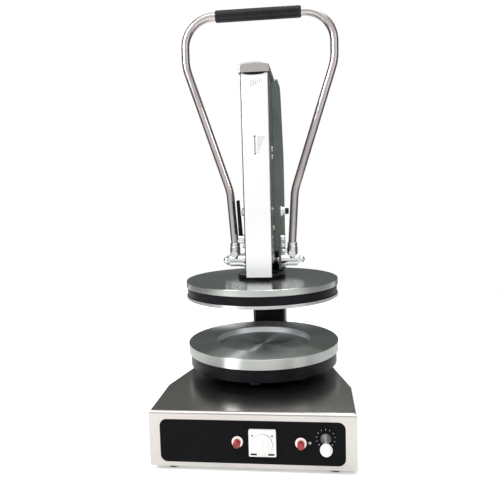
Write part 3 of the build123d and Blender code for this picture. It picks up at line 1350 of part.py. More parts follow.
def stop_arm():
    """Short arm on the shaft that meets the stop pin when the handle is upright."""
    x0 = FRAME_OUTER + BEARING_FLANGE_T + CLEAR
    x1 = KNUCKLE_IN
    sleeve = bar_x(x0, x1, PIVOT_Y, PIVOT_Z, SHAFT_D + 2 * STOP_RING_WALL)
    finger_y1 = STOP_PIN_Y - STOP_PIN_D / 2 - CLEAR
    finger_z1 = STOP_PIN_Z + STOP_PIN_D / 2
    finger = box(x1 - STOP_FINGER_W, x1, finger_y1 - STOP_FINGER_T, finger_y1, PIVOT_Z, finger_z1)
    return sleeve + finger - bar_x(x0 / 2, 2 * x1, PIVOT_Y, PIVOT_Z, SHAFT_D)


def shaft_collar():
    """Collar on the left end of the shaft that matches the stop arm."""
    x1 = -(FRAME_OUTER + BEARING_FLANGE_T + CLEAR)
    return tube_x(-KNUCKLE_IN, x1, PIVOT_Y, PIVOT_Z, SHAFT_D + 2 * STOP_RING_WALL, SHAFT_D)


def shaft_nuts():
    """Domed nuts on the two ends of the shaft."""
    nuts = []
    for side in SIDES:
        start = side * KNUCKLE_OUT
        dome_x = start + side * DOME_FLATS_H
        flats = hex_x(start, PIVOT_Y, PIVOT_Z, DOME_ACROSS, side * DOME_FLATS_H)
        dome = Pos(dome_x, PIVOT_Y, PIVOT_Z) * Sphere(DOME_R)
        keep = bar_x(dome_x - side * FIT_D, dome_x + side * 2 * DOME_R, PIVOT_Y, PIVOT_Z, 3 * DOME_R)
        thread = bar_x(start, side * SHAFT_HALF, PIVOT_Y, PIVOT_Z, SHAFT_END_D)
        nuts.append(flats + (dome & keep) - thread)
    return group(nuts)


def knuckle_screws():
    """Socket screws that clamp the arms in the knuckles."""
    screws = []
    y = PIVOT_Y - BOSS_OUT
    z = PIVOT_Z + BOSS_RISE
    for side in SIDES:
        x = side * ARM_FOOT_X
        head = bar_y(x, y - CLAMP_HEAD_H, y, z, CLAMP_HEAD_D)
        hexagon = extrude(RegularPolygon(CLAMP_SOCKET_R, 6), CLAMP_SOCKET_DEPTH)
        screws.append(head - Pos(x, y - CLAMP_HEAD_H, z) * Rot(-90, 0, 0) * hexagon)
    return group(screws)


def handle_half(side):
    """Centre line of one side of the handle, from the middle of the grip to the foot."""
    return [
        (0, PIVOT_Y, HANDLE_TOP_Z),
        (side * ARM_WIDE_X, PIVOT_Y, HANDLE_TOP_Z),
        (side * ARM_WIDE_X, PIVOT_Y, ARM_BEND_Z),
        (side * ARM_KNEE_X, PIVOT_Y, ARM_KNEE_Z),
        (side * ARM_FOOT_X, PIVOT_Y, TUBE_FOOT_Z + FOOT_STRAIGHT),
        (side * ARM_FOOT_X, PIVOT_Y, TUBE_FOOT_Z),
    ]


def handle_tube():
    """Bent tube: two arms and the cross piece inside the grip."""
    points = handle_half(-1)[:0:-1] + handle_half(1)[1:]
    bends = [FOOT_BEND_R, SIDE_BEND_R, SIDE_BEND_R, TOP_BEND_R]
    path = FilletPolyline(*points, radius=bends + bends[::-1])
    start = Plane(origin=points[0], z_dir=(0, 0, 1))
    section = start * Circle(TUBE_D / 2) - start * Circle(TUBE_D / 2 - TUBE_WALL)
    return sweep(section, path=path)


def grip_sleeve():
    """Black sleeve over the cross piece of the handle."""
    sleeve = bar_x(-GRIP_HALF, GRIP_HALF, PIVOT_Y, HANDLE_TOP_Z, GRIP_D)
    sleeve = fillet(sleeve.edges().filter_by(GeomType.CIRCLE), GRIP_END_R)
    return sleeve - bar_x(-2 * GRIP_HALF, 2 * GRIP_HALF, PIVOT_Y, HANDLE_TOP_Z, TUBE_D)


def main():
    """Build every piece and write it."""
    os.makedirs("parts", exist_ok=True)
    pieces = {
        "base_shell": base_shell(),
        "bottom_cover": bottom_cover(),
        "cover_screws": cover_screws(),
        "rubber_feet": rubber_feet(),
        "panel_overlay": panel_overlay(),
        "lamp_bezels": lamp_bezels(),
        "lamp_lenses": lamp_lenses(),
        "lamp_bodies": lamp_bodies(),
        "timer_case": timer_case(),
        "timer_dial": timer_dial(),
        "knob_neck": knob_neck(),
        "knob_ball": knob_ball(),
        "thermostat": thermostat(),
        "terminal_block": terminal_block(),
        "contactor": contactor(),
        "cable_gland": cable_gland(),
        "support_channel": support_channel(),
        "left_frame_plate": frame_plate(-1),
        "right_frame_plate": frame_plate(1),
        "column_cover": column_cover(),
        "rear_cover": rear_cover(),
        "head_housing": head_housing(),
        "front_panel": front_panel(),
        "top_cap": top_cap(),
        "housing_spacers": housing_spacers(),
        "guide_blocks": guide_blocks(),
        "guide_bushes": guide_bushes(),
        "guide_screws": guide_screws(),
        "frame_bolts": frame_bolts(),
        "shaft_bearings": shaft_bearings(),
        "through_bolt": through_bolt(),
        "bolt_cap": bolt_cap(),
        "stop_pin": stop_pin(),
        "gas_spring_body": gas_spring_body(),
        "gas_spring_rod": gas_spring_rod(),
        "crosshead": crosshead(),
        "stop_collar": stop_collar(),
        "depth_stop_arm": depth_stop_arm(),
        "lock_stud": lock_stud(),
        "lever_hub": lever_hub(),
        "lever_arm": lever_arm(),
        "lower_platen": lower_platen(),
        "lower_shroud": lower_shroud(),
        "lower_heater": lower_heater(),
        "platen_posts": platen_posts(),
        "platen_bolts": platen_bolts(),
        "press_plate": press_plate(),
        "upper_shroud": upper_shroud(),
        "upper_cover": upper_cover(),
        "upper_heater": upper_heater(),
        "hub": hub(),
        "hub_core": hub_core(),
        "hub_bolts": hub_bolts(),
        "rack_shaft": rack_shaft(),
        "sector_gear": sector_gear(),
        "cross_shaft": cross_shaft(),
        "knuckles": group([knuckle(-1), knuckle(1), stop_arm(), shaft_collar()]),
        "knuckle_hardware": group([shaft_nuts(), knuckle_screws()]),
        "handle_tube": handle_tube(),
        "grip_sleeve": grip_sleeve(),
    }
    for name, shape in pieces.items():
        save(name, shape)


if __name__ == "__main__":
    main()
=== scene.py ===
import json
import math
import bmesh
import bpy
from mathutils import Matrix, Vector


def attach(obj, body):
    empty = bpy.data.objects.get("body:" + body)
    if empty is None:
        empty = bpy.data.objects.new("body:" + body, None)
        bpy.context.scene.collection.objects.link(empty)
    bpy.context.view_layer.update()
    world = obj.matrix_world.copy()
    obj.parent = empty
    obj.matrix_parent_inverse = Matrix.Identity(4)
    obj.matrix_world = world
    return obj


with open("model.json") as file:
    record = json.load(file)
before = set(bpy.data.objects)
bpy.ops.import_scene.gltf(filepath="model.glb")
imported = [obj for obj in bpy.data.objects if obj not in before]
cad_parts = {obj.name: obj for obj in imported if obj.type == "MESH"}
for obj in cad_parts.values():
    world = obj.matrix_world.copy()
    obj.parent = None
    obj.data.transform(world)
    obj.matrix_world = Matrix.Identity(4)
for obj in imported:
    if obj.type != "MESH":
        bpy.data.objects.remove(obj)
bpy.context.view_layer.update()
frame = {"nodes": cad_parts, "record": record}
nodes = frame["nodes"]
slotOf = {part["node"]: part["material_slot"] for part in frame["record"]["subparts"]}
print("frame loaded:", len(nodes), "CAD pieces")

mm = 0.001
pressY = 33.5 * mm  # the line down the middle of both platens
noiseRange = (0.3, 0.7)  # nearly all of a noise pattern lies between these
coatRange = (0.35, 0.65)  # narrower, so the clouds in a coat show more
metalRelief = 0.1 * mm
coatRelief = 0.2 * mm
facing = 0.9  # a face looks along an axis when its normal has more than this of it
roundSides = 48
bevelSegments = 3
inkThickness = 0.15


# finishes
def linearOf(hexColour):
    channels = [int(hexColour[i:i + 2], 16) / 255 for i in (1, 3, 5)]
    linear = [c / 12.92 if c < 0.04045 else ((c + 0.055) / 1.055) ** 2.4 for c in channels]
    return (*linear, 1)


def addNode(tree, kind, settings={}, values={}, links={}, stops=()):
    node = tree.nodes.new(kind)
    for name, setting in settings.items():
        setattr(node, name, setting)
    for name, value in values.items():
        node.inputs[name].default_value = value
    for name, socket in links.items():
        tree.links.new(socket, node.inputs[name])
    for index, (place, colour) in enumerate(stops):
        stop = node.color_ramp.elements[index] if index < 2 else node.color_ramp.elements.new(place)
        stop.position = place
        stop.color = colour
    return node


def newFinish(name, shader):
    material = bpy.data.materials.new(name)
    material.use_nodes = True
    tree = material.node_tree
    tree.nodes.clear()
    surface = addNode(tree, "ShaderNodeBsdfPrincipled", values=shader)
    addNode(tree, "ShaderNodeOutputMaterial", links={"Surface": surface.outputs["BSDF"]})
    return material, tree, surface


def grey(level):
    return (level, level, level, 1)


def patternScale(size):
    return 1 / (size * mm)  # patterns repeat per metre, and sizes are in millimetres


def drawSurface(tree, surface, look, pattern, span, relief, reliefDepth):
    # one pattern drives colour and gloss, the other stands up as a fine relief
    colour = addNode(tree, "ShaderNodeValToRGB", links={"Fac": pattern},
                     stops=[(span[0], linearOf(look["dark"])), (span[1], linearOf(look["light"]))])
    rough = addNode(tree, "ShaderNodeMapRange",
                    values={"From Min": noiseRange[0], "From Max": noiseRange[1],
                            "To Min": look["rough"][0], "To Max": look["rough"][1]},
                    links={"Value": pattern})
    bump = addNode(tree, "ShaderNodeBump",
                   values={"Strength": look["bump"], "Distance": reliefDepth},
                   links={"Height": relief})
    tree.links.new(colour.outputs["Color"], surface.inputs["Base Color"])
    tree.links.new(rough.outputs["Result"], surface.inputs["Roughness"])
    tree.links.new(bump.outputs["Normal"], surface.inputs["Normal"])


def grainTree(tree, surface, look, pattern, patternWeight):
    # a streak or ring pattern laid over faint clouds
    place = addNode(tree, "ShaderNodeTexCoord")
    clouds = addNode(tree, "ShaderNodeTexNoise",
                     values={"Scale": patternScale(look["cloud"]), "Detail": 2},
                     links={"Vector": place.outputs["Object"]})
    both = addNode(tree, "ShaderNodeMixRGB", values={"Fac": patternWeight},
                   links={"Color1": clouds.outputs["Fac"], "Color2": pattern})
    drawSurface(tree, surface, look, both.outputs["Color"], noiseRange, pattern, metalRelief)


def brushedMetal(name, look):
    # rolled sheet or bar rubbed one way: long fine lines in colour, roughness and height
    material, tree, surface = newFinish(name, {"Metallic": 1, "Roughness": look["rough"][0]})
    place = addNode(tree, "ShaderNodeTexCoord")
    grain = addNode(tree, "ShaderNodeMapping",
                    values={"Scale": [patternScale(length) for length in look["grain"]]},
                    links={"Vector": place.outputs["Object"]})
    lines = addNode(tree, "ShaderNodeTexNoise", values={"Scale": 1, "Detail": 3, "Roughness": 0.6},
                    links={"Vector": grain.outputs["Vector"]})
    grainTree(tree, surface, look, lines.outputs["Fac"], patternWeight=0.5)
    return material


def turnedMetal(name, look):
    # faced on a lathe: rings round the press's middle line, so light runs out in spokes
    material, tree, surface = newFinish(name, {"Metallic": 1, "Roughness": look["rough"][0],
                                               "Anisotropic": look["spokes"],
                                               "Anisotropic Rotation": 0.25})
    place = addNode(tree, "ShaderNodeTexCoord")
    centred = addNode(tree, "ShaderNodeMapping",
                      values={"Location": (0, -pressY, 0), "Scale": (1, 1, 0)},
                      links={"Vector": place.outputs["Object"]})
    radius = addNode(tree, "ShaderNodeVectorMath", {"operation": "LENGTH"},
                     links={0: centred.outputs["Vector"]})
    rings = addNode(tree, "ShaderNodeTexNoise", {"noise_dimensions": "1D"},
                    {"Scale": patternScale(look["ring"]), "Detail": 3, "Roughness": 0.7},
                    {"W": radius.outputs["Value"]})
    spokes = addNode(tree, "ShaderNodeTangent", {"direction_type": "RADIAL", "axis": "Z"})
    tree.links.new(spokes.outputs["Tangent"], surface.inputs["Tangent"])
    grainTree(tree, surface, look, rings.outputs["Fac"], patternWeight=0.4)
    return material


def coatedSurface(name, look):
    # paint, plastic or rubber: faint clouds of colour, uneven gloss and a fine skin
    material, tree, surface = newFinish(name, look["shader"])
    place = addNode(tree, "ShaderNodeTexCoord")
    clouds = addNode(tree, "ShaderNodeTexNoise",
                     values={"Scale": patternScale(look["cloud"]), "Detail": 4},
                     links={"Vector": place.outputs["Object"]})
    skin = addNode(tree, "ShaderNodeTexNoise",
                   values={"Scale": patternScale(look["skin"]), "Detail": 2},
                   links={"Vector": place.outputs["Object"]})
    drawSurface(tree, surface, look, clouds.outputs["Fac"], coatRange, skin.outputs["Fac"],
                coatRelief)
    return material


# grain, ring, cloud and skin sizes are in millimetres; real grain and rings are 0.05 to 0.3 mm
# and are drawn coarser to show
finishes = {
    # satin stainless sheet, brushed along the width: soft streaked mirror
    "brushed_stainless": brushedMetal("satinStainlessSheet", {
        "dark": "#aeaaa8", "light": "#c4c0bd", "rough": (0.17, 0.27), "grain": (90, 0.8, 0.8),
        "cloud": 160, "bump": 0.03}),
    # turned and polished tool steel of the platens: spokes of light over a grey-green mirror
    "polished_steel": turnedMetal("turnedPolishedSteel", {
        "dark": "#aeb1af", "light": "#c6c9c6", "rough": (0.30, 0.38), "ring": 1.6, "cloud": 140,
        "spokes": 1.0, "bump": 0.02}),
    # polished dish over the upper platen: a closer mirror than the platens, still turned
    "polished_dish": turnedMetal("turnedPolishedDish", {
        "dark": "#a9adaa", "light": "#bfc2bf", "rough": (0.17, 0.23), "ring": 1.6, "cloud": 140,
        "spokes": 0.7, "bump": 0.01}),
    # satin anodised aluminium: nearly white, very even
    "bright_panel": brushedMetal("satinAnodisedAluminium", {
        "dark": "#eaeaec", "light": "#f7f7f9", "rough": (0.34, 0.44), "grain": (0.8, 0.8, 60),
        "cloud": 160, "bump": 0.02}),
    # satin enamel on the bands round the heaters: blue-black, soft shine
    "dark_band": coatedSurface("satinBlackEnamel", {
        "shader": {"Roughness": 0.3, "IOR": 1.5, "Specular IOR Level": 0.1},
        "dark": "#0a0a0e", "light": "#121217", "rough": (0.30, 0.42), "cloud": 30, "skin": 1.5,
        "bump": 0.03}),
    # black powder coat: semi gloss with a slight orange peel
    "black_paint": coatedSurface("blackPowderCoat", {
        "shader": {"Roughness": 0.35, "IOR": 1.5, "Specular IOR Level": 0.12},
        "dark": "#050506", "light": "#0c0c0e", "rough": (0.28, 0.40), "cloud": 24, "skin": 2.0,
        "bump": 0.06}),
    # smooth grey-green machine enamel
    "grey_green_enamel": coatedSurface("greyGreenEnamel", {
        "shader": {"Roughness": 0.35, "IOR": 1.5, "Specular IOR Level": 0.35},
        "dark": "#565e59", "light": "#626a64", "rough": (0.30, 0.42), "cloud": 60, "skin": 2.4,
        "bump": 0.05}),
    # printed polyester film: flat black, very fine texture
    "black_film": coatedSurface("printedPolyesterFilm", {
        "shader": {"Roughness": 0.45, "IOR": 1.5, "Specular IOR Level": 0.06},
        "dark": "#070709", "light": "#0b0b0e", "rough": (0.40, 0.50), "cloud": 40, "skin": 1.0,
        "bump": 0.03}),
    # decorative chrome plate: bright, sharp mirror
    "chrome": brushedMetal("brightChromePlate", {
        "dark": "#dadbdd", "light": "#e9eaec", "rough": (0.05, 0.09), "grain": (6, 6, 6),
        "cloud": 40, "bump": 0.0}),
    # satin chrome of the knob's neck: soft grey shine
    "satin_chrome": brushedMetal("satinChromePlate", {
        "dark": "#d3d5da", "light": "#e6e8ec", "rough": (0.38, 0.46), "grain": (4, 4, 4),
        "cloud": 30, "bump": 0.01}),
    # tube of the handle, polished along its length: clouded mirror with soft edges
    "polished_tube": brushedMetal("polishedStainlessTube", {
        "dark": "#b4adac", "light": "#c8c1c0", "rough": (0.20, 0.27), "grain": (3, 3, 60),
        "cloud": 50, "bump": 0.01}),
    # zinc plated steel: pale, slightly cloudy
    "zinc_steel": brushedMetal("zincPlatedSteel", {
        "dark": "#a3a49f", "light": "#cfd0cb", "rough": (0.24, 0.42), "grain": (5, 5, 5),
        "cloud": 18, "bump": 0.05}),
    # ground machine steel with a trace of oil
    "machine_steel": brushedMetal("groundMachineSteel", {
        "dark": "#76777a", "light": "#a2a3a6", "rough": (0.18, 0.34), "grain": (1.2, 1.2, 30),
        "cloud": 40, "bump": 0.06}),
    # sintered bronze: dull warm metal, faintly porous
    "bronze": brushedMetal("sinteredBronze", {
        "dark": "#8a6238", "light": "#b98c55", "rough": (0.35, 0.52), "grain": (2, 2, 2),
        "cloud": 20, "bump": 0.12}),
    # sheath of a heating element: steel browned by heat
    "heater_sheath": brushedMetal("heatTintedSheath", {
        "dark": "#54493f", "light": "#857a6b", "rough": (0.35, 0.55), "grain": (8, 8, 8),
        "cloud": 24, "bump": 0.08}),
    # moulded rubber of the feet
    "black_rubber": coatedSurface("mouldedBlackRubber", {
        "shader": {"Roughness": 0.65, "IOR": 1.52},
        "dark": "#111113", "light": "#1d1d1f", "rough": (0.55, 0.75), "cloud": 10, "skin": 1.2,
        "bump": 0.20}),
    # smooth PVC sleeve on the handle's cross piece
    "black_grip": coatedSurface("smoothVinylSleeve", {
        "shader": {"Roughness": 0.4, "IOR": 1.53, "Specular IOR Level": 0.22},
        "dark": "#0e0e12", "light": "#15151a", "rough": (0.26, 0.36), "cloud": 18, "skin": 1.4,
        "bump": 0.08}),
    # phenolic and nylon mouldings: glossy black
    "black_plastic": coatedSurface("mouldedBlackNylon", {
        "shader": {"Roughness": 0.3, "IOR": 1.53, "Specular IOR Level": 0.25},
        "dark": "#08080a", "light": "#101012", "rough": (0.22, 0.34), "cloud": 14, "skin": 1.2,
        "bump": 0.05}),
    # white ABS of the timer and the knob
    "white_plastic": coatedSurface("mouldedWhiteABS", {
        "shader": {"Roughness": 0.3, "IOR": 1.54},
        "dark": "#d6d5d3", "light": "#e0dfdd", "rough": (0.22, 0.36), "cloud": 20, "skin": 1.4,
        "bump": 0.04}),
    # glossy bezel of a neon lamp
    "lamp_white": coatedSurface("glossyWhiteBezel", {
        "shader": {"Roughness": 0.2, "IOR": 1.54, "Coat Weight": 0.3},
        "dark": "#e2cfcb", "light": "#efe0dc", "rough": (0.12, 0.22), "cloud": 12, "skin": 1.4,
        "bump": 0.03}),
    # red polycarbonate lens, clear enough to hold light inside
    "red_lens": coatedSurface("redPolycarbonateLens", {
        "shader": {"Roughness": 0.15, "IOR": 1.58, "Transmission Weight": 0.15,
                   "Subsurface Weight": 0.1, "Subsurface Radius": (0.006, 0.001, 0.001)},
        "dark": "#74060f", "light": "#a50f1e", "rough": (0.10, 0.20), "cloud": 6, "skin": 1.6,
        "bump": 0.04}),
    # brown phenolic moulding of the electrical parts
    "brown_phenolic": coatedSurface("brownPhenolicMoulding", {
        "shader": {"Roughness": 0.4, "IOR": 1.6},
        "dark": "#3a2418", "light": "#553624", "rough": (0.32, 0.50), "cloud": 8, "skin": 1.2,
        "bump": 0.10}),
}

# pieces whose outside is finished apart from their slot: the handle's tube, the plated rings of
# the bearings, the knob's neck, the bars painted with the side plates, the dish, the head's
# screws and the painted posts under the lower platen
ownFinish = {"handle_tube": "polished_tube", "shaft_bearings": "chrome",
             "knob_neck": "satin_chrome", "housing_spacers": "grey_green_enamel",
             "upper_cover": "polished_dish", "guide_screws": "brushed_stainless",
             "platen_posts": "black_paint"}
for nodeName, piece in nodes.items():
    piece.data.materials.clear()
    piece.data.materials.append(finishes[ownFinish.get(nodeName, slotOf[nodeName])])
print("finishes made:", len(finishes))


# small tools for modelling
def alone(piece):
    bpy.ops.object.select_all(action="DESELECT")
    piece.select_set(True)
    bpy.context.view_layer.objects.active = piece


def named(name):
    piece = bpy.context.object
    piece.name = name
    piece.data.name = name
    return piece


def pickFaces(piece, wanted):
    # leaves edit mode on with only the wanted faces picked
    alone(piece)
    bpy.ops.object.mode_set(mode="EDIT")
    bpy.ops.mesh.select_mode(type="FACE")
    bpy.ops.mesh.select_all(action="DESELECT")
    mesh = bmesh.from_edit_mesh(piece.data)
    for face in mesh.faces:
        face.select_set(bool(wanted(face)))
    bmesh.update_edit_mesh(piece.data)


def backToObject():
    bpy.ops.object.mode_set(mode="OBJECT")


def closeShell():
    # turns every face of the piece in edit mode outwards
    bpy.ops.mesh.select_all(action="SELECT")
    bpy.ops.mesh.normals_make_consistent(inside=False)
    backToObject()


def applied(piece, kind, **settings):
    alone(piece)
    modifier = piece.modifiers.new(kind.title(), kind)
    for name, setting in settings.items():
        setattr(modifier, name, setting)
    bpy.ops.object.modifier_apply(modifier=modifier.name)


def settle(piece, body, slotName, smoothAngle=30):
    # place goes into the mesh, then the piece gets its finish and its body
    alone(piece)
    bpy.ops.object.transform_apply(location=True, rotation=True, scale=True)
    bpy.ops.object.shade_smooth_by_angle(angle=math.radians(smoothAngle))
    piece.data.materials.clear()
    piece.data.materials.append(finishes[slotName])
    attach(piece, body)


def joined(name, pieces):
    alone(pieces[0])
    for piece in pieces[1:]:
        piece.select_set(True)
    bpy.ops.object.join()
    return named(name)


def copiesOf(master, places):
    # each place is (location, scale, turn about Y); the master itself is used up
    made = []
    for location, scale, turn in places:
        copy = master.copy()
        copy.data = master.data.copy()
        bpy.context.scene.collection.objects.link(copy)
        copy.location = location
        copy.scale = scale
        copy.rotation_euler = (0, turn, 0)
        alone(copy)
        bpy.ops.object.transform_apply(location=True, rotation=True, scale=True)
        made.append(copy)
    bpy.data.objects.remove(master)
    return made


def evenSteps(first, last, count):
    return [first + (last - first) * index / (count - 1) for index in range(count)]


# printed marks on faces that look forwards
def printedMarks(name, marks, faceY, body, slotName, thickness=inkThickness):
    # each mark is (x, z, width, height, turn) in millimetres and degrees
    bpy.ops.mesh.primitive_plane_add(size=1, rotation=(math.radians(90), 0, 0))
    stroke = named(name + "Stroke")
    bpy.ops.object.transform_apply(location=True, rotation=True, scale=True)
    pickFaces(stroke, lambda face: True)
    bpy.ops.mesh.extrude_region_move(TRANSFORM_OT_translate={"value": (0, -1, 0)})
    closeShell()
    places = []
    for x, z, width, height, turn in marks:
        places.append(((x * mm, faceY * mm, z * mm), (width * mm, thickness * mm, height * mm),
                       math.radians(turn)))
    settle(joined(name, copiesOf(stroke, places)), body, slotName)


def printedRing(name, x, z, radius, line, faceY, body, slotName):
    bpy.ops.mesh.primitive_circle_add(vertices=roundSides, radius=radius * mm, fill_type="NGON",
                                      location=(x * mm, faceY * mm, z * mm),
                                      rotation=(math.radians(90), 0, 0))
    ring = named(name)
    pickFaces(ring, lambda face: True)
    bpy.ops.mesh.inset(thickness=line * mm)
    bpy.ops.mesh.delete(type="FACE")
    bpy.ops.mesh.select_all(action="SELECT")
    bpy.ops.mesh.extrude_region_move(TRANSFORM_OT_translate={"value": (0, -inkThickness * mm, 0)})
    closeShell()
    settle(ring, body, slotName)


def roundTicks(dial):
    # ticks round a dial, every few of them long; a turn of 0 degrees is at the top
    ticks = []
    turns = evenSteps(dial["firstTurn"], dial["lastTurn"], dial["tickCount"])
    for index, turn in enumerate(turns):
        height = dial["tickShort"] if index % dial["longEvery"] else dial["tickLong"]
        ticks.append((dial["x"] + dial["tickRadius"] * math.sin(math.radians(turn)),
                      dial["z"] + dial["tickRadius"] * math.cos(math.radians(turn)),
                      dial["tickLine"], height, turn))
    return ticks


# a row of strokes that grow shorter, high on the head
headStrokes = {"faceY": -26.5, "topZ": 723.6, "leftX": -6.6, "step": 4.4, "count": 6,
               "tallest": 14.0, "shortest": 2.4, "line": 0.9}
marks = []
for index, height in enumerate(evenSteps(headStrokes["tallest"], headStrokes["shortest"],
                                         headStrokes["count"])):
    marks.append((headStrokes["leftX"] + index * headStrokes["step"],
                  headStrokes["topZ"] - height / 2, headStrokes["line"], height, 0))
printedMarks("headStrokes", marks, headStrokes["faceY"], "frame", "machine_steel")

# a post with square ends and rungs that grow shorter downwards, half way up the head
headScale = {"faceY": -26.5, "x": -1.9, "topZ": 613.0, "bottomZ": 573.6, "postWidth": 2.2,
             "endInset": 2.0, "endSize": 3.6, "rungCount": 9, "rungInset": 4.0, "rungGap": 4.2,
             "rungLong": 17.0, "rungShort": 3.0, "rungLine": 0.9}
marks = [(headScale["x"], (headScale["topZ"] + headScale["bottomZ"]) / 2, headScale["postWidth"],
          headScale["topZ"] - headScale["bottomZ"] - 2 * headScale["endInset"], 0)]
for endZ in (headScale["bottomZ"] + headScale["endInset"],
             headScale["topZ"] - headScale["endInset"]):
    marks.append((headScale["x"], endZ, headScale["endSize"], headScale["endSize"], 45))
rungWidths = evenSteps(headScale["rungLong"], headScale["rungShort"], headScale["rungCount"])
rungLevels = evenSteps(headScale["topZ"] - headScale["rungInset"],
                       headScale["bottomZ"] + headScale["rungInset"], headScale["rungCount"])
for width, level in zip(rungWidths, rungLevels):
    marks.append((headScale["x"] + headScale["rungGap"] + width / 2, level, width,
                  headScale["rungLine"], 0))
printedMarks("headScale", marks, headScale["faceY"], "frame", "machine_steel")

# timer: printed ticks round the dial, and raised dark feet and top catches of its frame
timer = {"x": 20.3, "z": 58.5, "faceY": -246.0, "tickRadius": 20.4, "tickCount": 24,
         "firstTurn": 0, "lastTurn": 345, "longEvery": 4, "tickLong": 2.7, "tickShort": 1.8,
         "tickLine": 0.45, "footX": 15.6, "footDrop": 19.4, "footSize": (11.0, 3.2),
         "catchX": 17.4, "catchRise": 14.6, "catchSize": (3.0, 2.0), "footThickness": 0.3}
printedMarks("timerTicks", roundTicks(timer), timer["faceY"], "frame", "machine_steel")
marks = []
for side in (-1, 1):
    marks.append((timer["x"] + side * timer["footX"], timer["z"] - timer["footDrop"],
                  *timer["footSize"], 0))
    marks.append((timer["x"] + side * timer["catchX"], timer["z"] + timer["catchRise"],
                  *timer["catchSize"], 0))
printedMarks("timerFeet", marks, timer["faceY"], "frame", "black_plastic", timer["footThickness"])

# knob scale and the small ring beside the right lamp, printed light on the film
knobScale = {"x": 130.5, "z": 68.0, "faceY": -239.0, "tickRadius": 16.0, "tickCount": 11,
             "firstTurn": -135, "lastTurn": 135, "longEvery": 5, "tickLong": 2.2, "tickShort": 1.4,
             "tickLine": 0.6}
printedMarks("knobScale", roundTicks(knobScale), knobScale["faceY"], "frame", "white_plastic")
filmMark = {"x": 103.2, "z": 59.1, "faceY": -239.0, "radius": 2.2, "line": 0.7}
printedRing("filmMark", filmMark["x"], filmMark["z"], filmMark["radius"], filmMark["line"],
            filmMark["faceY"], "frame", "white_plastic")
print("printed marks done")

# ribbed edge of the timer's dial
dialRim = {"radius": 17.25, "depth": 2.4, "middleY": -247.6, "ribs": 40, "ribGap": 0.12,
           "ribHeight": 0.25}
bpy.ops.mesh.primitive_cylinder_add(vertices=2 * dialRim["ribs"], radius=dialRim["radius"] * mm,
                                    depth=dialRim["depth"] * mm, end_fill_type="NGON",
                                    location=(timer["x"] * mm, dialRim["middleY"] * mm,
                                              timer["z"] * mm),
                                    rotation=(math.radians(90), 0, 0))
rim = named("dialRibs")
pickFaces(rim, lambda face: abs(face.normal.z) < facing and face.index % 2 == 0)
bpy.ops.mesh.inset(thickness=dialRim["ribGap"] * mm, use_individual=True)
bpy.ops.transform.shrink_fatten(value=dialRim["ribHeight"] * mm)
backToObject()
settle(rim, "timer_dial", "white_plastic", smoothAngle=20)

# collars where the arms go into their knuckles
collar = {"x": 66.0, "y": 91.5, "z": 372.2, "height": 9.0, "radius": 11.2, "boreRadius": 9.05,
          "bevel": 0.8}
for side, label in ((-1, "left"), (1, "right")):
    bpy.ops.mesh.primitive_cylinder_add(vertices=roundSides, radius=collar["radius"] * mm,
                                        depth=collar["height"] * mm, end_fill_type="NGON",
                                        location=(side * collar["x"] * mm, collar["y"] * mm,
                                                  (collar["z"] + collar["height"] / 2) * mm))
    ferrule = named(label + "ArmCollar")
    pickFaces(ferrule, lambda face: abs(face.normal.z) > facing)
    bpy.ops.mesh.inset(thickness=(collar["radius"] - collar["boreRadius"]) * mm)
    bpy.ops.mesh.bridge_edge_loops()
    backToObject()
    applied(ferrule, "BEVEL", width=collar["bevel"] * mm, segments=bevelSegments,
            limit_method="ANGLE", angle_limit=math.radians(50))
    settle(ferrule, "handle", "chrome", smoothAngle=35)

# bright slanted ring that lines the wall of the recess: part of the platen, settled with the
# platen's finish and then given a paler satin that stays light where the turned steel would go dark
wall = {"outerRadius": 104.45, "topLip": 0.35, "bottomLip": 3.6, "bottomZ": 161.62, "topZ": 173.1,
        "sides": 128}
bpy.ops.mesh.primitive_cylinder_add(vertices=wall["sides"], radius=wall["outerRadius"] * mm,
                                    depth=(wall["topZ"] - wall["bottomZ"]) * mm,
                                    end_fill_type="NGON",
                                    location=(0, pressY, (wall["topZ"] + wall["bottomZ"]) / 2 * mm))
liner = named("recessWall")
for upwards, lipName in ((1, "topLip"), (-1, "bottomLip")):
    pickFaces(liner, lambda face: face.normal.z * upwards > facing)
    bpy.ops.mesh.inset(thickness=wall[lipName] * mm)
    backToObject()
pickFaces(liner, lambda face: len(face.verts) == wall["sides"])  # the two caps
bpy.ops.mesh.bridge_edge_loops()
backToObject()
settle(liner, "frame", "polished_steel", smoothAngle=35)
liner.data.materials[0] = finishes["satin_chrome"]

# painted shade: a black crescent under the cap's front lip, standing in for the shadow gap there
lip = {"width": 46.0, "drop": 4.4, "z": 738.0, "y": -27.1, "depth": 1.1}
bpy.ops.mesh.primitive_cylinder_add(vertices=roundSides, radius=0.5, depth=1,
                                    location=(0, lip["y"] * mm, lip["z"] * mm),
                                    rotation=(math.radians(90), 0, 0))
shadow = named("capShadeCrescent")
bpy.ops.object.transform_apply(location=False, rotation=True, scale=False)
shadow.scale = (lip["width"] * mm, lip["depth"] * mm, 2 * lip["drop"] * mm)
bpy.ops.object.transform_apply(location=False, rotation=False, scale=True)
pickFaces(shadow, lambda face: True)
bpy.ops.mesh.bisect(plane_co=(0, 0, lip["z"] * mm), plane_no=(0, 0, 1), clear_outer=True,
                    use_fill=True)
backToObject()
settle(shadow, "frame", "black_plastic")

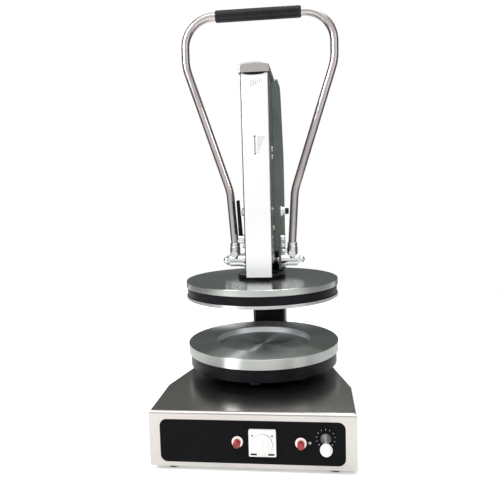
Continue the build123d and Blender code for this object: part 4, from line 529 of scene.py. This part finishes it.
# tab that locks the lower band, seen just below it in front
tab = {"x": -3.0, "y": -126.0, "z": 123.9, "size": (20.0, 5.0, 4.2), "taper": (0.8, 0.7, 1),
       "bevel": 0.9}
bpy.ops.mesh.primitive_cube_add(size=1, location=(tab["x"] * mm, tab["y"] * mm, tab["z"] * mm))
bandTab = named("bandTab")
bandTab.scale = [length * mm for length in tab["size"]]
bpy.ops.object.transform_apply(location=False, rotation=False, scale=True)
pickFaces(bandTab, lambda face: face.normal.z < -facing)
bpy.ops.transform.resize(value=tab["taper"])
backToObject()
applied(bandTab, "BEVEL", width=tab["bevel"] * mm, segments=bevelSegments)
settle(bandTab, "frame", "dark_band")

# bare plate on the back of the base, with a rivet in each corner
backPlate = {"x": -40.0, "y": 281.5, "z": 78.0, "width": 64.0, "height": 34.0, "thickness": 0.8,
             "cornerRadius": 3.0, "cornerSegments": 5, "rivetInset": 4.0}
bpy.ops.mesh.primitive_plane_add(size=1, location=(backPlate["x"] * mm, backPlate["y"] * mm,
                                                   backPlate["z"] * mm),
                                 rotation=(math.radians(-90), 0, 0))
plate = named("barePlate")
bpy.ops.object.transform_apply(location=False, rotation=True, scale=False)
plate.scale = (backPlate["width"] * mm, 1, backPlate["height"] * mm)
bpy.ops.object.transform_apply(location=False, rotation=False, scale=True)
pickFaces(plate, lambda face: True)
bpy.ops.mesh.bevel(offset=backPlate["cornerRadius"] * mm, segments=backPlate["cornerSegments"],
                   affect="VERTICES")
bpy.ops.mesh.select_all(action="SELECT")
bpy.ops.mesh.extrude_region_move(
    TRANSFORM_OT_translate={"value": (0, backPlate["thickness"] * mm, 0)})
closeShell()
settle(plate, "frame", "bright_panel")


def domedHeads(name, places, head, body, slotName):
    # round heads that face the rear: a sphere cut in half and pressed flat, some with a socket
    bpy.ops.mesh.primitive_uv_sphere_add(segments=24, ring_count=12, radius=head["radius"] * mm,
                                         rotation=(math.radians(90), 0, 0))
    dome = named(name + "Head")
    bpy.ops.object.transform_apply(location=False, rotation=True, scale=False)
    pickFaces(dome, lambda face: True)
    bpy.ops.mesh.bisect(plane_co=(0, 0, 0), plane_no=(0, -1, 0), clear_outer=True, use_fill=True)
    backToObject()
    if "socketDepth" in head:
        pickFaces(dome, lambda face: face.normal.y > head["socketFacing"])
        bpy.ops.mesh.inset(thickness=head["socketRim"] * mm)
        bpy.ops.mesh.extrude_region_move(
            TRANSFORM_OT_translate={"value": (0, -head["socketDepth"] * mm, 0)})
        backToObject()
    pressed = (1, head["height"] / head["radius"], 1)
    heads = copiesOf(dome, [(place, pressed, 0) for place in places])
    settle(joined(name, heads), body, slotName)


rivet = {"radius": 1.9, "height": 1.0}
rivetReach = backPlate["width"] / 2 - backPlate["rivetInset"]
rivetRise = backPlate["height"] / 2 - backPlate["rivetInset"]
rivetPlaces = []
for side in (-1, 1):
    for level in (-1, 1):
        rivetPlaces.append(((backPlate["x"] + side * rivetReach) * mm,
                            (backPlate["y"] + backPlate["thickness"]) * mm,
                            (backPlate["z"] + level * rivetRise) * mm))
domedHeads("plateRivets", rivetPlaces, rivet, "frame", "zinc_steel")

# screws of the rear cover, in pairs up the column
coverScrew = {"x": 27.0, "y": 265.5, "levels": (150.0, 300.0, 450.0), "radius": 3.6, "height": 2.2,
              "socketRim": 0.36, "socketDepth": 1.08, "socketFacing": 0.95}
screwPlaces = []
for level in coverScrew["levels"]:
    for side in (-1, 1):
        screwPlaces.append((side * coverScrew["x"] * mm, coverScrew["y"] * mm, level * mm))
domedHeads("rearCoverScrews", screwPlaces, coverScrew, "frame", "zinc_steel")
print("added pieces done")

# floor, light and camera
studio = {"floorDark": "#f3f3f1", "floorLight": "#f6f6f4", "floorSize": 2.8, "floorClouds": 3,
          "floorGlow": 0.3, "backdrop": 1.0, "front": 0.88, "frontEdge": 0.1, "side": 0.13,
          "sideEdge": 0.42, "rear": (0.15, 0.163, 0.155, 1), "rearEdge": 0.75, "ceiling": 0.5,
          "ceilingFrom": 0.45, "ceilingFull": 0.95}
bpy.ops.mesh.primitive_plane_add(size=studio["floorSize"], location=(0, 0, 0))
floor = named("studioFloor")
floorFinish, floorTree, floorSurface = newFinish("paleStudioFloor", {
    "Roughness": 0.9, "Emission Color": linearOf(studio["floorLight"]),
    "Emission Strength": studio["floorGlow"]})
floorPlace = addNode(floorTree, "ShaderNodeTexCoord")
floorClouds = addNode(floorTree, "ShaderNodeTexNoise",
                      values={"Scale": studio["floorClouds"], "Detail": 2},
                      links={"Vector": floorPlace.outputs["Object"]})
floorColour = addNode(floorTree, "ShaderNodeValToRGB", links={"Fac": floorClouds.outputs["Fac"]},
                      stops=[(noiseRange[0], linearOf(studio["floorDark"])),
                             (noiseRange[1], linearOf(studio["floorLight"]))])
floorTree.links.new(floorColour.outputs["Color"], floorSurface.inputs["Base Color"])
floor.data.materials.append(floorFinish)

world = bpy.data.worlds.new("whiteStudio")
bpy.context.scene.world = world
world.use_nodes = True
sky = world.node_tree
sky.nodes.clear()
direction = addNode(sky, "ShaderNodeTexCoord")
parts = addNode(sky, "ShaderNodeSeparateXYZ", links={0: direction.outputs["Generated"]})
# dim wall behind the object, bright room in front of it, light ceiling above
depth = addNode(sky, "ShaderNodeMapRange", values={"From Min": -1, "From Max": 1},
                links={"Value": parts.outputs["Y"]})
# a ramp has two stops of its own, its ends, so the one between them comes last
frontToRear = addNode(sky, "ShaderNodeValToRGB", links={"Fac": depth.outputs["Result"]},
                      stops=[(studio["frontEdge"], grey(studio["front"])),
                             (studio["rearEdge"], studio["rear"]),
                             (studio["sideEdge"], grey(studio["side"]))])
upwards = addNode(sky, "ShaderNodeValToRGB", links={"Fac": parts.outputs["Z"]},
                  stops=[(studio["ceilingFrom"], grey(0)), (studio["ceilingFull"], grey(1))])
room = addNode(sky, "ShaderNodeMixRGB", values={"Color2": grey(studio["ceiling"])},
               links={"Fac": upwards.outputs["Color"], "Color1": frontToRear.outputs["Color"]})
seen = addNode(sky, "ShaderNodeLightPath")
shown = addNode(sky, "ShaderNodeMixRGB", values={"Color2": grey(studio["backdrop"])},
                links={"Fac": seen.outputs["Is Camera Ray"], "Color1": room.outputs["Color"]})
background = addNode(sky, "ShaderNodeBackground", values={"Strength": 1},
                     links={"Color": shown.outputs["Color"]})
addNode(sky, "ShaderNodeOutputWorld", links={"Surface": background.outputs["Background"]})


def softLight(name, kind, place, aim, power, size):
    # size is the sun's angle in degrees, or a softbox's width and height in metres
    light = bpy.data.lights.new(name, kind)
    light.energy = power
    if kind == "AREA":
        light.shape = "RECTANGLE"
        light.size, light.size_y = size
    else:
        light.angle = math.radians(size)
    lamp = bpy.data.objects.new(name, light)
    bpy.context.scene.collection.objects.link(lamp)
    lamp.location = place
    lamp.rotation_euler = (Vector(aim) - Vector(place)).to_track_quat("-Z", "Y").to_euler()


softLight("overheadSoft", "SUN", (0, -1.2, 3), (0, 0, 0), 1.5, 60)
softLight("leftSoftbox", "AREA", (-1.3, -1.2, 1.5), (0, 0, 0.35), 34, (0.6, 1.1))
softLight("rightSoftbox", "AREA", (1.5, -0.9, 1.0), (0, 0, 0.35), 3, (0.7, 1.2))
softLight("rearSoftbox", "AREA", (0.5, 1.4, 2.4), (0, 0, 0.3), 22, (1.0, 1.0))

viewpoint = {"place": (0.11643, -1.16311, 0.49357), "turn": (84.1932, 1.5583, 6.5798),
             "lens": 39.6, "sensor": 36}
camera = bpy.data.cameras.new("photoCamera")
camera.lens = viewpoint["lens"]
camera.sensor_width = viewpoint["sensor"]
cameraObject = bpy.data.objects.new("photoCamera", camera)
bpy.context.scene.collection.objects.link(cameraObject)
cameraObject.location = viewpoint["place"]
cameraObject.rotation_euler = [math.radians(angle) for angle in viewpoint["turn"]]
bpy.context.scene.camera = cameraObject
bpy.context.scene.view_settings.view_transform = "Standard"
print("studio ready")
